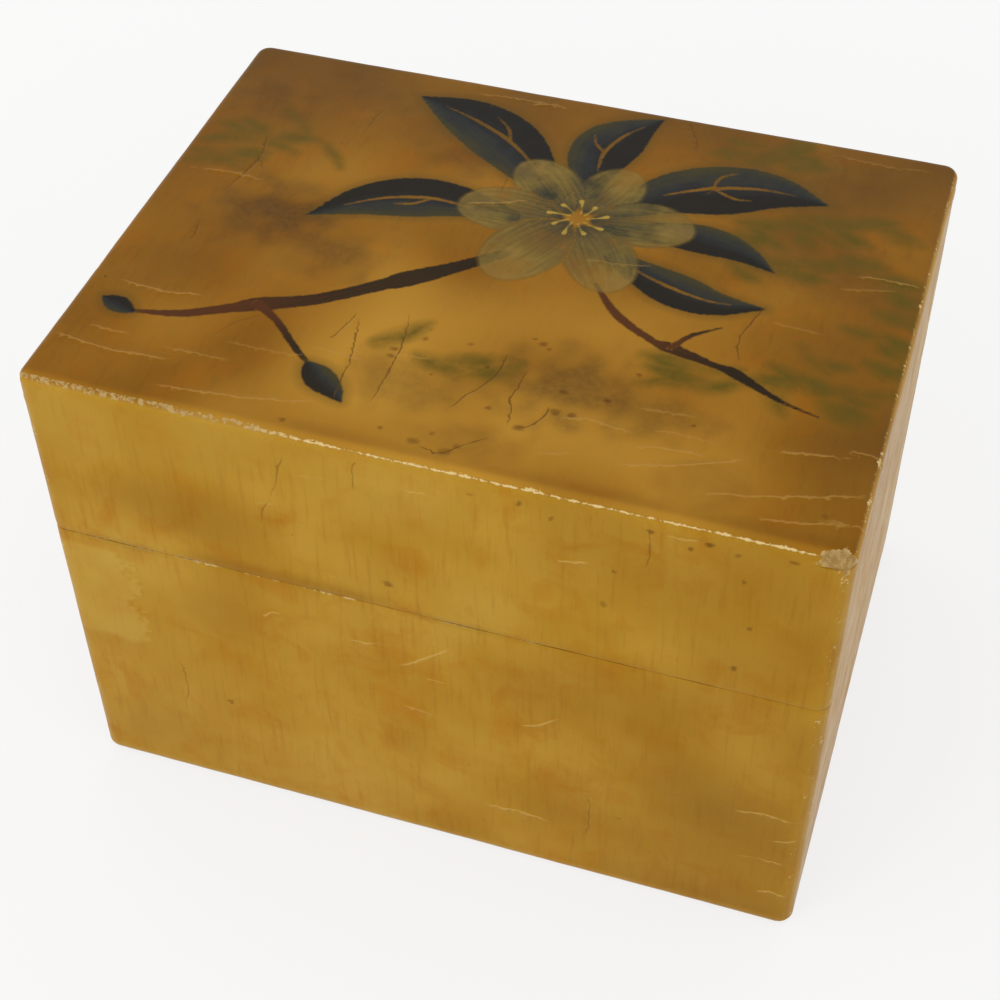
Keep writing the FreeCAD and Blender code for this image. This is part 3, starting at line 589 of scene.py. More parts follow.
    # rubbed through at the arrises: only the high grains of the paper are bare; the same pale colour also
    # paints a highlight line along the top's front arris and small glints on its right arris
    wearAndGlint = add(tree, "Attribute", {}, attribute_name="wearAndGlint").outputs["Fac"]
    grains = add(tree, "TexNoise", {"Vector": where, "Scale": 1 / (look["grainWide"] * mm), "Detail": 4,
                                    "Roughness": .7}).outputs[0]
    grainy = add(tree, "MapRange", {0: grains, 1: .3, 2: .7, 3: -.45, 4: .45}).outputs[0]
    rubbed = add(tree, "Math", {0: wearAndGlint, 1: grainy}, operation="ADD").outputs[0]
    bareAndGlint = add(tree, "MapRange", {0: rubbed, 1: .5, 2: .72, 4: .92}).outputs[0]
    chip = add(tree, "Attribute", {}, attribute_name="chip").outputs["Fac"]
    bareAndGlintColour = add(tree, "Mix", {0: chip, 6: paint(look["wornAndGlint"]), 7: paint(look["chip"])},
                     data_type="RGBA").outputs[2]
    pitted = add(tree, "MapRange", {0: grains, 1: .56, 2: .44, 4: .5}).outputs[0]
    pitted = add(tree, "Math", {0: pitted, 1: chip}, operation="MULTIPLY").outputs[0]
    bareAndGlintColour = add(tree, "Mix", {0: pitted, 6: bareAndGlintColour, 7: paint(look["pit"])},
                     data_type="RGBA").outputs[2]
    colour = add(tree, "Mix", {0: bareAndGlint, 6: colour, 7: bareAndGlintColour}, data_type="RGBA").outputs[2]

    dull = add(tree, "MapRange", {0: patch, 1: .3, 2: .7, 3: look["rough"] - .07,
                                  4: look["rough"] + .1}).outputs[0]
    smeared = add(tree, "Math", {0: grimeAndShadeMask, 1: .25}, operation="MULTIPLY").outputs[0]
    rough = add(tree, "Math", {0: dull, 1: smeared}, operation="ADD").outputs[0]
    bumps = add(tree, "Math", {0: fibre, 1: .25}, operation="MULTIPLY").outputs[0]
    bumps = add(tree, "Math", {0: bumps, 1: streak}, operation="ADD").outputs[0]
    torn = add(tree, "Math", {0: bareAndGlint, 1: grains}, operation="MULTIPLY").outputs[0]
    bumps = add(tree, "Math", {0: bumps, 1: torn}, operation="ADD").outputs[0]
    bump = add(tree, "Bump", {"Strength": .35, "Distance": look["bumpHigh"] * mm, "Height": bumps}).outputs[0]
    shader = add(tree, "BsdfPrincipled", {"Base Color": colour, "Roughness": rough, "IOR": 1.5,
                                          "Normal": bump, "Specular IOR Level": look["gloss"]})
    add(tree, "OutputMaterial", {"Surface": shader.outputs[0]})
    return made


inkLook = {"black": "#131412", "indigo": "#22282b", "thinInk": "#433d17", "olive": "#574411",
           "petal": "#7d682e", "petalTip": "#957638", "petalBase": "#2a3127", "twig": "#4c2509",
           "twigDark": "#160f05", "dab": "#5a4c08", "smudge": "#4c3412", "stamen": "#b3943c",
           "frayWide": 1.1, "washWide": 5, "twigHairs": 3, "inkHairs": 5, "petalHairs": 4}


def paintedSpray(tree, where, ground):
    # thin water colour and ink, over the paper and under the last varnish: edges pool dark, washes stay soft
    look = inkLook
    frayed = add(tree, "TexNoise", {"Vector": where, "Scale": 1 / (look["frayWide"] * mm), "Detail": 4,
                                    "Roughness": .65}).outputs[0]
    washed = add(tree, "TexNoise", {"Vector": where, "Scale": 1 / (look["washWide"] * mm), "Detail": 3,
                                    "Roughness": .6}).outputs[0]
    fray = add(tree, "MapRange", {0: frayed, 1: .3, 2: .7, 3: -.12, 4: .12}).outputs[0]

    smudge = add(tree, "Attribute", {}, attribute_name="smudge").outputs["Fac"]
    rubbed = add(tree, "MapRange", {0: frayed, 1: .3, 2: .65, 3: .6, 4: 1}).outputs[0]
    smudged = add(tree, "Math", {0: smudge, 1: rubbed}, operation="MULTIPLY").outputs[0]
    colour = add(tree, "Mix", {0: smudged, 6: ground, 7: paint(look["smudge"])}, data_type="RGBA").outputs[2]

    dabDepth = add(tree, "Attribute", {}, attribute_name="dab").outputs["Fac"]
    dabDepth = add(tree, "Math", {0: dabDepth, 1: fray}, operation="ADD").outputs[0]
    dabbed = add(tree, "MapRange", {0: dabDepth, 1: -1.1, 2: 1, 4: .9}).outputs[0]
    dried = add(tree, "MapRange", {0: washed, 1: .35, 2: .65, 3: .5}).outputs[0]
    dabbed = add(tree, "Math", {0: dabbed, 1: dried}, operation="MULTIPLY").outputs[0]
    colour = add(tree, "Mix", {0: dabbed, 6: colour, 7: paint(look["dab"])}, data_type="RGBA").outputs[2]

    # brush hairs leave streaks that follow each stroke, so a noise is laid along and across the strokes
    strokes = {}
    for kind in ("twig", "ink", "petal"):
        along = add(tree, "Attribute", {}, attribute_name=kind + "Along").outputs["Fac"]
        across = add(tree, "Attribute", {}, attribute_name=kind + "Across").outputs["Fac"]
        split = add(tree, "Math", {0: across, 1: look[kind + "Hairs"]}, operation="MULTIPLY").outputs[0]
        laid = add(tree, "CombineXYZ", {0: along, 1: split}).outputs[0]
        hair = add(tree, "TexNoise", {"Vector": laid, "Scale": 2.2, "Detail": 3, "Roughness": .6}).outputs[0]
        depth = add(tree, "Attribute", {}, attribute_name=kind).outputs["Fac"]
        ragged = add(tree, "Math", {0: depth, 1: fray}, operation="ADD").outputs[0]
        strokes[kind] = {"along": along, "across": across, "hair": hair, "depth": depth, "ragged": ragged}

    twig = strokes["twig"]
    toned = add(tree, "Math", {0: twig["along"], 1: twig["hair"]}, operation="ADD").outputs[0]
    twigColour = coat(tree, paint(look["twig"]), paint(look["twigDark"]), toned, .75, 1.1)
    colour = coat(tree, colour, twigColour, twig["ragged"], -.16, .16, .94)

    # side-loaded leaves: thick ink along one side of the brush, thinning to indigo and olive on the other
    ink = strokes["ink"]
    colour = coat(tree, colour, paint(look["olive"]), ink["depth"], -1.7, .2, .5)
    side = add(tree, "Math", {0: ink["across"], 1: ink["hair"]}, operation="ADD").outputs[0]
    side = add(tree, "Math", {0: side, 1: washed}, operation="ADD").outputs[0]
    inkColour = coat(tree, paint(look["black"]), paint(look["indigo"]), side, .7, 1.35)
    inkColour = coat(tree, inkColour, paint(look["thinInk"]), side, 1.3, 2.1, .9)
    colour = coat(tree, colour, inkColour, ink["ragged"], -.16, .16, .96)

    # petals: indigo washed out from the heart to olive and pale ochre, with a thin pooled outline
    petal = strokes["petal"]
    uneven = add(tree, "Math", {0: petal["hair"], 1: washed}, operation="ADD").outputs[0]
    uneven = add(tree, "MapRange", {0: uneven, 1: .7, 2: 1.3, 3: -.22, 4: .22}).outputs[0]
    opened = add(tree, "Math", {0: petal["along"], 1: uneven}, operation="ADD").outputs[0]
    petalColour = coat(tree, paint(look["petalBase"]), paint(look["petal"]), opened, .02, .62)
    petalColour = coat(tree, petalColour, paint(look["petalTip"]), opened, .55, 1)
    petalColour = coat(tree, petalColour, paint(look["olive"]), petal["depth"], .45, .05, .6)
    covered = add(tree, "MapRange", {0: petal["ragged"], 1: -.3, 2: .35, 4: .9}).outputs[0]
    # the wash dries unevenly and lets the gold through, most of all towards the tips
    outwards = add(tree, "Math", {0: petal["along"], 1: -.3}, operation="MULTIPLY").outputs[0]
    thick = add(tree, "Math", {0: washed, 1: outwards}, operation="ADD").outputs[0]
    thick = add(tree, "MapRange", {0: thick, 1: .1, 2: .45, 3: .5, 4: 1}).outputs[0]
    covered = add(tree, "Math", {0: covered, 1: thick}, operation="MULTIPLY").outputs[0]
    colour = add(tree, "Mix", {0: covered, 6: colour, 7: petalColour}, data_type="RGBA").outputs[2]

    stamen = add(tree, "Attribute", {}, attribute_name="stamen").outputs["Fac"]
    return coat(tree, colour, paint(look["stamen"]), stamen, -.1, .12, .9)


# coat is how much wiped lacquer lies on a wood
boxWoodLook = {"early": "#d9c19a", "late": "#b8935f", "aged": "#b79566", "pore": "#9a7747",
               "ringsApart": 9.5, "rough": .62, "coat": 0}
lipWoodLook = {"early": "#b98a5c", "late": "#925c34", "aged": "#9a6a40", "pore": "#704322",
               "ringsApart": 5.15, "rough": .5, "coat": .05}
trayWoodLook = {"early": "#6d3a1d", "late": "#472010", "aged": "#54280f", "pore": "#2c1308",
                "ringsApart": 6.73, "rough": .4, "coat": .12}
grainLook = {"wanderWide": 14, "poreWide": .35, "ageWide": 18, "bumpHigh": .1}    # shared by the three woods


def sawnWood(name, look, along):
    # planed boards and strips: straight early and late growth rings, fine pores along the grain, and an open
    # surface that is dull until it is lacquered
    made, tree, where = freshMaterial(name)
    stretch = (.07, 1, 1) if along == "x" else (1, .07, 1)
    laid = add(tree, "Mapping", {"Vector": where, "Scale": stretch}).outputs[0]
    wander = add(tree, "TexNoise", {"Vector": laid, "Scale": 1 / (grainLook["wanderWide"] * mm),
                                    "Detail": 2}).outputs["Color"]
    bent = add(tree, "Mix", {0: .012, 6: laid, 7: wander}, data_type="RGBA").outputs[2]
    # at a scale of 1 this texture's diagonal bands lie tau / 10 apart along each axis
    bands = math.tau / 10 / (look["ringsApart"] * mm)
    rings = add(tree, "TexWave", {"Vector": bent, "Scale": bands, "Distortion": 1.5, "Detail": 2,
                                  "Detail Scale": .8}, bands_direction="DIAGONAL").outputs["Fac"]
    pore = add(tree, "TexNoise", {"Vector": laid, "Scale": 1 / (grainLook["poreWide"] * mm), "Detail": 3,
                                  "Roughness": .7}).outputs[0]
    cloudy = add(tree, "TexNoise", {"Vector": where, "Scale": 1 / (grainLook["ageWide"] * mm),
                                    "Detail": 3}).outputs[0]
    late = add(tree, "MapRange", {0: rings, 1: .45, 2: .95, 4: .75}).outputs[0]
    colour = add(tree, "Mix", {0: late, 6: paint(look["early"]), 7: paint(look["late"])},
                 data_type="RGBA").outputs[2]
    colour = coat(tree, colour, paint(look["aged"]), cloudy, .4, .7, .5)
    colour = coat(tree, colour, paint(look["pore"]), pore, .55, .75, .45)
    rough = add(tree, "MapRange", {0: pore, 1: .3, 2: .7, 3: look["rough"] - .06,
                                   4: look["rough"] + .1}).outputs[0]
    rises = add(tree, "Math", {0: pore, 1: late}, operation="SUBTRACT").outputs[0]
    bump = add(tree, "Bump", {"Strength": .3, "Distance": grainLook["bumpHigh"] * mm,
                              "Height": rises}).outputs[0]
    shader = add(tree, "BsdfPrincipled", {"Base Color": colour, "Roughness": rough, "IOR": 1.5,
                                          "Normal": bump, "Specular IOR Level": .35,
                                          "Coat Weight": look["coat"], "Coat Roughness": .22})
    add(tree, "OutputMaterial", {"Surface": shader.outputs[0]})
    return made


liningLook = {"paper": "#cdb88d", "fibre": "#e2d3ae", "fox": "#a58452", "oneWide": .5, "twoWide": .6,
              "foxWide": 9, "rough": .85, "bumpHigh": .08}


def pastedLining():
    # handmade lining paper, pale buff, pasted down wet: long crossing fibres and faint foxing
    made, tree, where = freshMaterial("handmadeLiningPaper")
    look = liningLook
    one = add(tree, "Mapping", {"Vector": where, "Rotation": (0, 0, .4), "Scale": (.12, 1, 1)}).outputs[0]
    two = add(tree, "Mapping", {"Vector": where, "Rotation": (0, 0, -.9), "Scale": (1, .12, 1)}).outputs[0]
    first = add(tree, "TexNoise", {"Vector": one, "Scale": 1 / (look["oneWide"] * mm),
                                   "Detail": 3}).outputs[0]
    second = add(tree, "TexNoise", {"Vector": two, "Scale": 1 / (look["twoWide"] * mm),
                                    "Detail": 3}).outputs[0]
    both = add(tree, "Math", {0: first, 1: second}, operation="MAXIMUM").outputs[0]
    fox = add(tree, "TexNoise", {"Vector": where, "Scale": 1 / (look["foxWide"] * mm), "Detail": 5,
                                 "Roughness": .7}).outputs[0]
    colour = coat(tree, paint(look["paper"]), paint(look["fibre"]), both, .5, .75, .6)
    colour = coat(tree, colour, paint(look["fox"]), fox, .56, .75, .5)
    bump = add(tree, "Bump", {"Strength": .4, "Distance": look["bumpHigh"] * mm, "Height": both}).outputs[0]
    shader = add(tree, "BsdfPrincipled", {"Base Color": colour, "Roughness": look["rough"], "IOR": 1.45,
                                          "Normal": bump, "Specular IOR Level": .25})
    add(tree, "OutputMaterial", {"Surface": shader.outputs[0]})
    return made


pegLook = {"straw": "#d3b477", "fibre": "#8c6733", "bundleWide": .3, "rough": .5, "bumpHigh": .05}


def splitBamboo():
    # pegs whittled from bamboo: pale straw with close dark fibre bundles that show as dots on the cut ends
    made, tree, where = freshMaterial("splitBamboo")
    look = pegLook
    upright = add(tree, "Mapping", {"Vector": where, "Scale": (1, 1, .04)}).outputs[0]
    fibre = add(tree, "TexVoronoi", {"Vector": upright,
                                     "Scale": 1 / (look["bundleWide"] * mm)}).outputs["Distance"]
    colour = coat(tree, paint(look["straw"]), paint(look["fibre"]), fibre, .35, .15, .7)
    bump = add(tree, "Bump", {"Strength": .3, "Distance": look["bumpHigh"] * mm, "Height": fibre}).outputs[0]
    shader = add(tree, "BsdfPrincipled", {"Base Color": colour, "Roughness": look["rough"], "IOR": 1.5,
                                          "Normal": bump})
    add(tree, "OutputMaterial", {"Surface": shader.outputs[0]})
    return made


slateLook = {"stone": "#2b2d31", "bed": "#43474a", "fleck": "#7b7f7c", "driedInk": "#131314",
             "bedWide": 12, "gritWide": .35, "flecksApart": 1.3, "inkWide": 3, "inkNone": 58.4,
             "inkFull": 55, "bumpHigh": .06}


def honedSlate():
    # a quarried slate rubbed smooth with grit: blue-black, faint bedding clouds, mica flecks, and dried ink
    # in the well, up to the height inkNone above the table
    made, tree, where = freshMaterial("honedSlate")
    look = slateLook
    beds = add(tree, "Mapping", {"Vector": where, "Rotation": (.2, .1, .3), "Scale": (.4, 1, 1.6)}).outputs[0]
    bed = add(tree, "TexNoise", {"Vector": beds, "Scale": 1 / (look["bedWide"] * mm), "Detail": 6,
                                 "Roughness": .6, "Distortion": .8}).outputs[0]
    grit = add(tree, "TexNoise", {"Vector": where, "Scale": 1 / (look["gritWide"] * mm), "Detail": 2,
                                  "Roughness": .7}).outputs[0]
    fleck = add(tree, "TexVoronoi", {"Vector": where,
                                     "Scale": 1 / (look["flecksApart"] * mm)}).outputs["Distance"]
    colour = coat(tree, paint(look["stone"]), paint(look["bed"]), bed, .38, .66)
    colour = coat(tree, colour, paint(look["fleck"]), fleck, .09, .04, .5)
    low = add(tree, "SeparateXYZ", {0: where}).outputs[2]
    stain = add(tree, "TexNoise", {"Vector": where, "Scale": 1 / (look["inkWide"] * mm), "Detail": 5,
                                   "Roughness": .7}).outputs[0]
    pool = add(tree, "MapRange", {0: low, 1: look["inkNone"] * mm, 2: look["inkFull"] * mm}).outputs[0]
    dried = add(tree, "MapRange", {0: stain, 1: .3, 2: .55}).outputs[0]
    pooled = add(tree, "Math", {0: pool, 1: dried}, operation="MULTIPLY").outputs[0]
    colour = add(tree, "Mix", {0: pooled, 6: colour, 7: paint(look["driedInk"])}, data_type="RGBA").outputs[2]
    rough = add(tree, "MapRange", {0: grit, 1: .3, 2: .7, 3: .42, 4: .6}).outputs[0]
    bump = add(tree, "Bump", {"Strength": .25, "Distance": look["bumpHigh"] * mm, "Height": grit}).outputs[0]
    shader = add(tree, "BsdfPrincipled", {"Base Color": colour, "Roughness": rough, "IOR": 1.55,
                                          "Normal": bump})
    add(tree, "OutputMaterial", {"Surface": shader.outputs[0]})
    return made


brassLook = {"bright": "#a98748", "tarnish": "#7a5a30", "stainWide": 5, "scratchWide": .25, "bumpHigh": .03}


def agedBrass():
    # cast and soldered brass, handled for years: dull gold with brown tarnish and fine rubbed scratches
    made, tree, where = freshMaterial("agedBrass")
    look = brassLook
    stain = add(tree, "TexNoise", {"Vector": where, "Scale": 1 / (look["stainWide"] * mm), "Detail": 6,
                                   "Roughness": .65}).outputs[0]
    rub = add(tree, "Mapping", {"Vector": where, "Rotation": (0, 0, .7), "Scale": (.05, 1, 1)}).outputs[0]
    scratch = add(tree, "TexNoise", {"Vector": rub, "Scale": 1 / (look["scratchWide"] * mm),
                                     "Detail": 2}).outputs[0]
    brown = add(tree, "MapRange", {0: stain, 1: .4, 2: .75, 4: .7}).outputs[0]
    colour = add(tree, "Mix", {0: brown, 6: paint(look["bright"]), 7: paint(look["tarnish"])},
                 data_type="RGBA").outputs[2]
    dull = add(tree, "Math", {0: brown, 1: .3}, operation="MULTIPLY").outputs[0]
    scratched = add(tree, "MapRange", {0: scratch, 1: .3, 2: .7, 3: .24, 4: .4}).outputs[0]
    rough = add(tree, "Math", {0: dull, 1: scratched}, operation="ADD").outputs[0]
    bump = add(tree, "Bump", {"Strength": .2, "Distance": look["bumpHigh"] * mm,
                              "Height": scratch}).outputs[0]
    shader = add(tree, "BsdfPrincipled", {"Base Color": colour, "Metallic": 1, "Roughness": rough,
                                          "Normal": bump})
    add(tree, "OutputMaterial", {"Surface": shader.outputs[0]})
    return made


# gold powder lies on the ink stick's border, from borderIn to borderOut beyond the sunk panel and down to
# goldDown below the stick's top, with soft edges; the end that is rubbed on the stone begins at groundFrom
inkStickLook = {"soot": "#17171a", "haze": "#2b2926", "gold": "#b08d3c", "panelInset": 2.8, "borderIn": .35,
                "borderOut": 1.55, "goldDown": .3, "grainWide": .5, "hazeWide": 6, "groundFrom": 26,
                "groundTo": 28.5, "bumpHigh": .05}


def pressedInk():
    # soot and glue kneaded and pressed in a mould: near black, satin where burnished, dull where rubbed
    made, tree, where = freshMaterial("pressedInk")
    look = inkStickLook
    grain = add(tree, "TexNoise", {"Vector": where, "Scale": 1 / (look["grainWide"] * mm), "Detail": 4,
                                   "Roughness": .7}).outputs[0]
    haze = add(tree, "TexNoise", {"Vector": where, "Scale": 1 / (look["hazeWide"] * mm),
                                  "Detail": 3}).outputs[0]
    colour = coat(tree, paint(look["soot"]), paint(look["haze"]), haze, .4, .7, .8)
    # the gold was brushed on the border round the sunk panel, and half of it has rubbed off
    low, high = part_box("ink_stick")
    middle = (low + high) / 2
    placed = add(tree, "SeparateXYZ", {0: where}).outputs
    beyond = []
    for axis in (0, 1):
        far = add(tree, "Math", {0: placed[axis], 1: middle[axis]}, operation="SUBTRACT").outputs[0]
        far = add(tree, "Math", {0: far}, operation="ABSOLUTE").outputs[0]
        panel = (high[axis] - low[axis]) / 2 - look["panelInset"] * mm
        beyond.append(add(tree, "Math", {0: far, 1: panel}, operation="SUBTRACT").outputs[0])
    beyond = add(tree, "Math", {0: beyond[0], 1: beyond[1]}, operation="MAXIMUM").outputs[0]
    soft = .15 * mm
    inner, outer, down = look["borderIn"] * mm, look["borderOut"] * mm, high.z - look["goldDown"] * mm
    gold = add(tree, "MapRange", {0: beyond, 1: inner, 2: inner + soft}).outputs[0]
    for value, none, full in ((beyond, outer, outer - soft), (placed[2], down, down + .1 * mm),
                              (grain, .38, .5)):
        kept = add(tree, "MapRange", {0: value, 1: none, 2: full}).outputs[0]
        gold = add(tree, "Math", {0: gold, 1: kept}, operation="MULTIPLY").outputs[0]
    colour = add(tree, "Mix", {0: gold, 6: colour, 7: paint(look["gold"])}, data_type="RGBA").outputs[2]
    ground = add(tree, "MapRange", {0: placed[0], 1: look["groundFrom"] * mm, 2: look["groundTo"] * mm,
                                    4: .35}).outputs[0]
    burnished = add(tree, "MapRange", {0: grain, 1: .3, 2: .7, 3: .3, 4: .44}).outputs[0]
    rough = add(tree, "Math", {0: ground, 1: burnished}, operation="ADD").outputs[0]
    bump = add(tree, "Bump", {"Strength": .3, "Distance": look["bumpHigh"] * mm, "Height": grain}).outputs[0]
    metal = add(tree, "Math", {0: gold, 1: .6}, operation="MULTIPLY").outputs[0]
    shader = add(tree, "BsdfPrincipled", {"Base Color": colour, "Roughness": rough, "IOR": 1.5,
                                          "Normal": bump, "Metallic": metal})
    add(tree, "OutputMaterial", {"Surface": shader.outputs[0]})
    return made


hornLook = {"black": "#1f1712", "streak": "#5b3a22", "streakWide": 1.2, "bumpHigh": .03}


def polishedHorn():
    # water buffalo horn, turned and polished: almost black with brown growth streaks along it
    made, tree, where = freshMaterial("polishedHorn")
    look = hornLook
    laid = add(tree, "Mapping", {"Vector": where, "Scale": (.08, 1, 1)}).outputs[0]
    streak = add(tree, "TexNoise", {"Vector": laid, "Scale": 1 / (look["streakWide"] * mm), "Detail": 4,
                                    "Roughness": .6}).outputs[0]
    colour = coat(tree, paint(look["black"]), paint(look["streak"]), streak, .5, .72, .8)
    rough = add(tree, "MapRange", {0: streak, 1: .3, 2: .7, 3: .16, 4: .28}).outputs[0]
    bump = add(tree, "Bump", {"Strength": .1, "Distance": look["bumpHigh"] * mm, "Height": streak}).outputs[0]
    shader = add(tree, "BsdfPrincipled", {"Base Color": colour, "Roughness": rough, "IOR": 1.55,
                                          "Normal": bump})
    add(tree, "OutputMaterial", {"Surface": shader.outputs[0]})
    return made


caneLook = {"straw": "#c79d4d", "line": "#9c722f", "freckle": "#67411a", "scar": "#4a2c12", "lineWide": .4,
            "freckleWide": 2.2, "rough": .36, "bumpHigh": .04}


def bambooCane():
    # a whole cane with its waxy skin on: straw yellow, long fine lines, brown freckles, scars at the joints
    made, tree, where = freshMaterial("bambooCane")
    look = caneLook
    laid = add(tree, "Mapping", {"Vector": where, "Scale": (.03, 1, 1)}).outputs[0]
    lines = add(tree, "TexNoise", {"Vector": laid, "Scale": 1 / (look["lineWide"] * mm), "Detail": 3,
                                   "Roughness": .6}).outputs[0]
    spots = add(tree, "TexNoise", {"Vector": where, "Scale": 1 / (look["freckleWide"] * mm), "Detail": 4,
                                   "Roughness": .7}).outputs[0]
    joint = add(tree, "Attribute", {}, attribute_name="joint").outputs["Fac"]
    colour = coat(tree, paint(look["straw"]), paint(look["line"]), lines, .45, .7, .6)
    crowded = add(tree, "Math", {0: joint, 1: .16}, operation="MULTIPLY").outputs[0]
    spotted = add(tree, "Math", {0: spots, 1: crowded}, operation="ADD").outputs[0]
    colour = coat(tree, colour, paint(look["freckle"]), spotted, .6, .7, .75)
    scar = add(tree, "Attribute", {}, attribute_name="scar").outputs["Fac"]
    colour = coat(tree, colour, paint(look["scar"]), scar, .2, .8, .85)
    bump = add(tree, "Bump", {"Strength": .2, "Distance": look["bumpHigh"] * mm, "Height": lines}).outputs[0]
    shader = add(tree, "BsdfPrincipled", {"Base Color": colour, "Roughness": look["rough"], "IOR": 1.5,
                                          "Normal": bump, "Coat Weight": .1, "Coat Roughness": .2})
    add(tree, "OutputMaterial", {"Surface": shader.outputs[0]})
    return made


hairLook = {"root": "#a98d66", "hair": "#d8c6a2", "ink": "#1c1b1c", "shadedGroove": "#5c4a34", "strandWide": .22,
            "inkFrom": 30, "inkFull": 40, "inkRagged": 6, "rough": .55, "bumpHigh": .1}


def combedHair():
    # goat hair dressed with size: cream at the root, stained with old ink towards the point
    made, tree, where = freshMaterial("combedHair")
    look = hairLook
    laid = add(tree, "Mapping", {"Vector": where, "Scale": (.04, 1, 1)}).outputs[0]
    strand = add(tree, "TexNoise", {"Vector": laid, "Scale": 1 / (look["strandWide"] * mm), "Detail": 3,
                                    "Roughness": .7}).outputs[0]
    along = add(tree, "SeparateXYZ", {0: where}).outputs[0]
    ragged = add(tree, "MapRange", {0: strand, 1: .3, 2: .7, 4: look["inkRagged"] * mm}).outputs[0]
    uneven = add(tree, "Math", {0: along, 1: ragged}, operation="ADD").outputs[0]
    inked = add(tree, "MapRange", {0: uneven, 1: look["inkFrom"] * mm, 2: look["inkFull"] * mm,
                                   4: .93}).outputs[0]
    colour = coat(tree, paint(look["root"]), paint(look["hair"]), strand, .35, .65)
    colour = add(tree, "Mix", {0: inked, 6: colour, 7: paint(look["ink"])}, data_type="RGBA").outputs[2]
    # painted shade darkens the grooves between the locks
    shadedGroove = add(tree, "Attribute", {}, attribute_name="shadedGroove").outputs["Fac"]
    colour = coat(tree, colour, paint(look["shadedGroove"]), shadedGroove, .1, .9, .55)
    bump = add(tree, "Bump", {"Strength": .6, "Distance": look["bumpHigh"] * mm, "Height": strand}).outputs[0]
    shader = add(tree, "BsdfPrincipled", {"Base Color": colour, "Roughness": look["rough"], "IOR": 1.55,
                                          "Normal": bump})
    add(tree, "OutputMaterial", {"Surface": shader.outputs[0]})
    return made


# Pieces of the covering

paintedTop = varnishedPaper("amberVarnishedPaperPainted", True)
plainSides = varnishedPaper("amberVarnishedPaper", False)

# the paper's relief in millimetres: base is how deep it lies on average below the CAD face, which nothing
# rises above
relief = {"base": .11, "broad": .035, "small": .015, "ridge": .09, "ridgeHalf": .28, "crack": .13,
          "crackHalf": .2, "wornAndGlint": .07, "topChip": .14, "sideChip": .1, "blister": .06, "seamDip": .08}
elsewhere = 300    # a place along the sides that is far from the front and its own marks


def paperClouds(places):
    # one set of soft unevenness for the whole box, so the sheets meet flush
    return cloud(places, 17 * mm, 4), cloud(places, 3.4 * mm, 5), cloud(places, .8 * mm, 6)


def unevenPaper(broad, small):
    return -relief["base"] + relief["broad"] * broad + relief["small"] * small


def wrinkledPaper(broad, small, ridge, crack):
    depth = unevenPaper(broad, small) + relief["ridge"] * hump(ridge, relief["ridgeHalf"])
    return depth - relief["crack"] * hump(crack, relief["crackHalf"])


def markFields(ridge, crack):
    return {"ridgeSide": ridge[0], "ridgeNear": ridge[1], "crackSide": crack[0], "crackNear": crack[1]}


def sideTone(along, up, broad):
    # the front is paler under the left of its top edge and along its right upright edge; it is deeper towards
    # the right and at the lower right, painted shade where less light falls, and in a cloud at the upper
    # left;
    # every side is paler at its foot
    front = np.abs(along) < frontMarks["halfWide"]
    # painted shade: the front deepens towards its right
    tone = .3 * broad - .4 * smoothStep(0, 50, along) * front
    underEdge = .3 * smoothStep(66, 84, up) * smoothStep(20, -30, along)
    tone += front * (underEdge + .3 * smoothStep(56.6, 59, along))
    tone -= .45 * front * smoothStep(22, 6, np.hypot(along + 36, (up - 66) * 2.4))
    # painted shade at the front's lower right
    tone -= .35 * front * smoothStep(15, 52, along) * smoothStep(44, 12, up)
    return tone + .6 * smoothStep(3, .6, up)


# how strongly the top's arrises are rubbed, or painted pale as a highlight, and where: along the front arris
# up to thirdTo from the left the bare band is wider and grainier, rubbed paper, and beyond it the thin pale
# line is a painted highlight of the gloss on the rounded arris; the places listed for the right arris are
# small painted glints and those for the left arris small rubbed places
topWearAndGlint = {"front": .82, "back": .2, "left": .25, "right": .42, "bandHalf": .17, "thirdWider": .42,
           "thirdTo": -14, "thirdFull": -27, "rightGlints": (-25, -33, 9), "leftRubs": (-18,)}


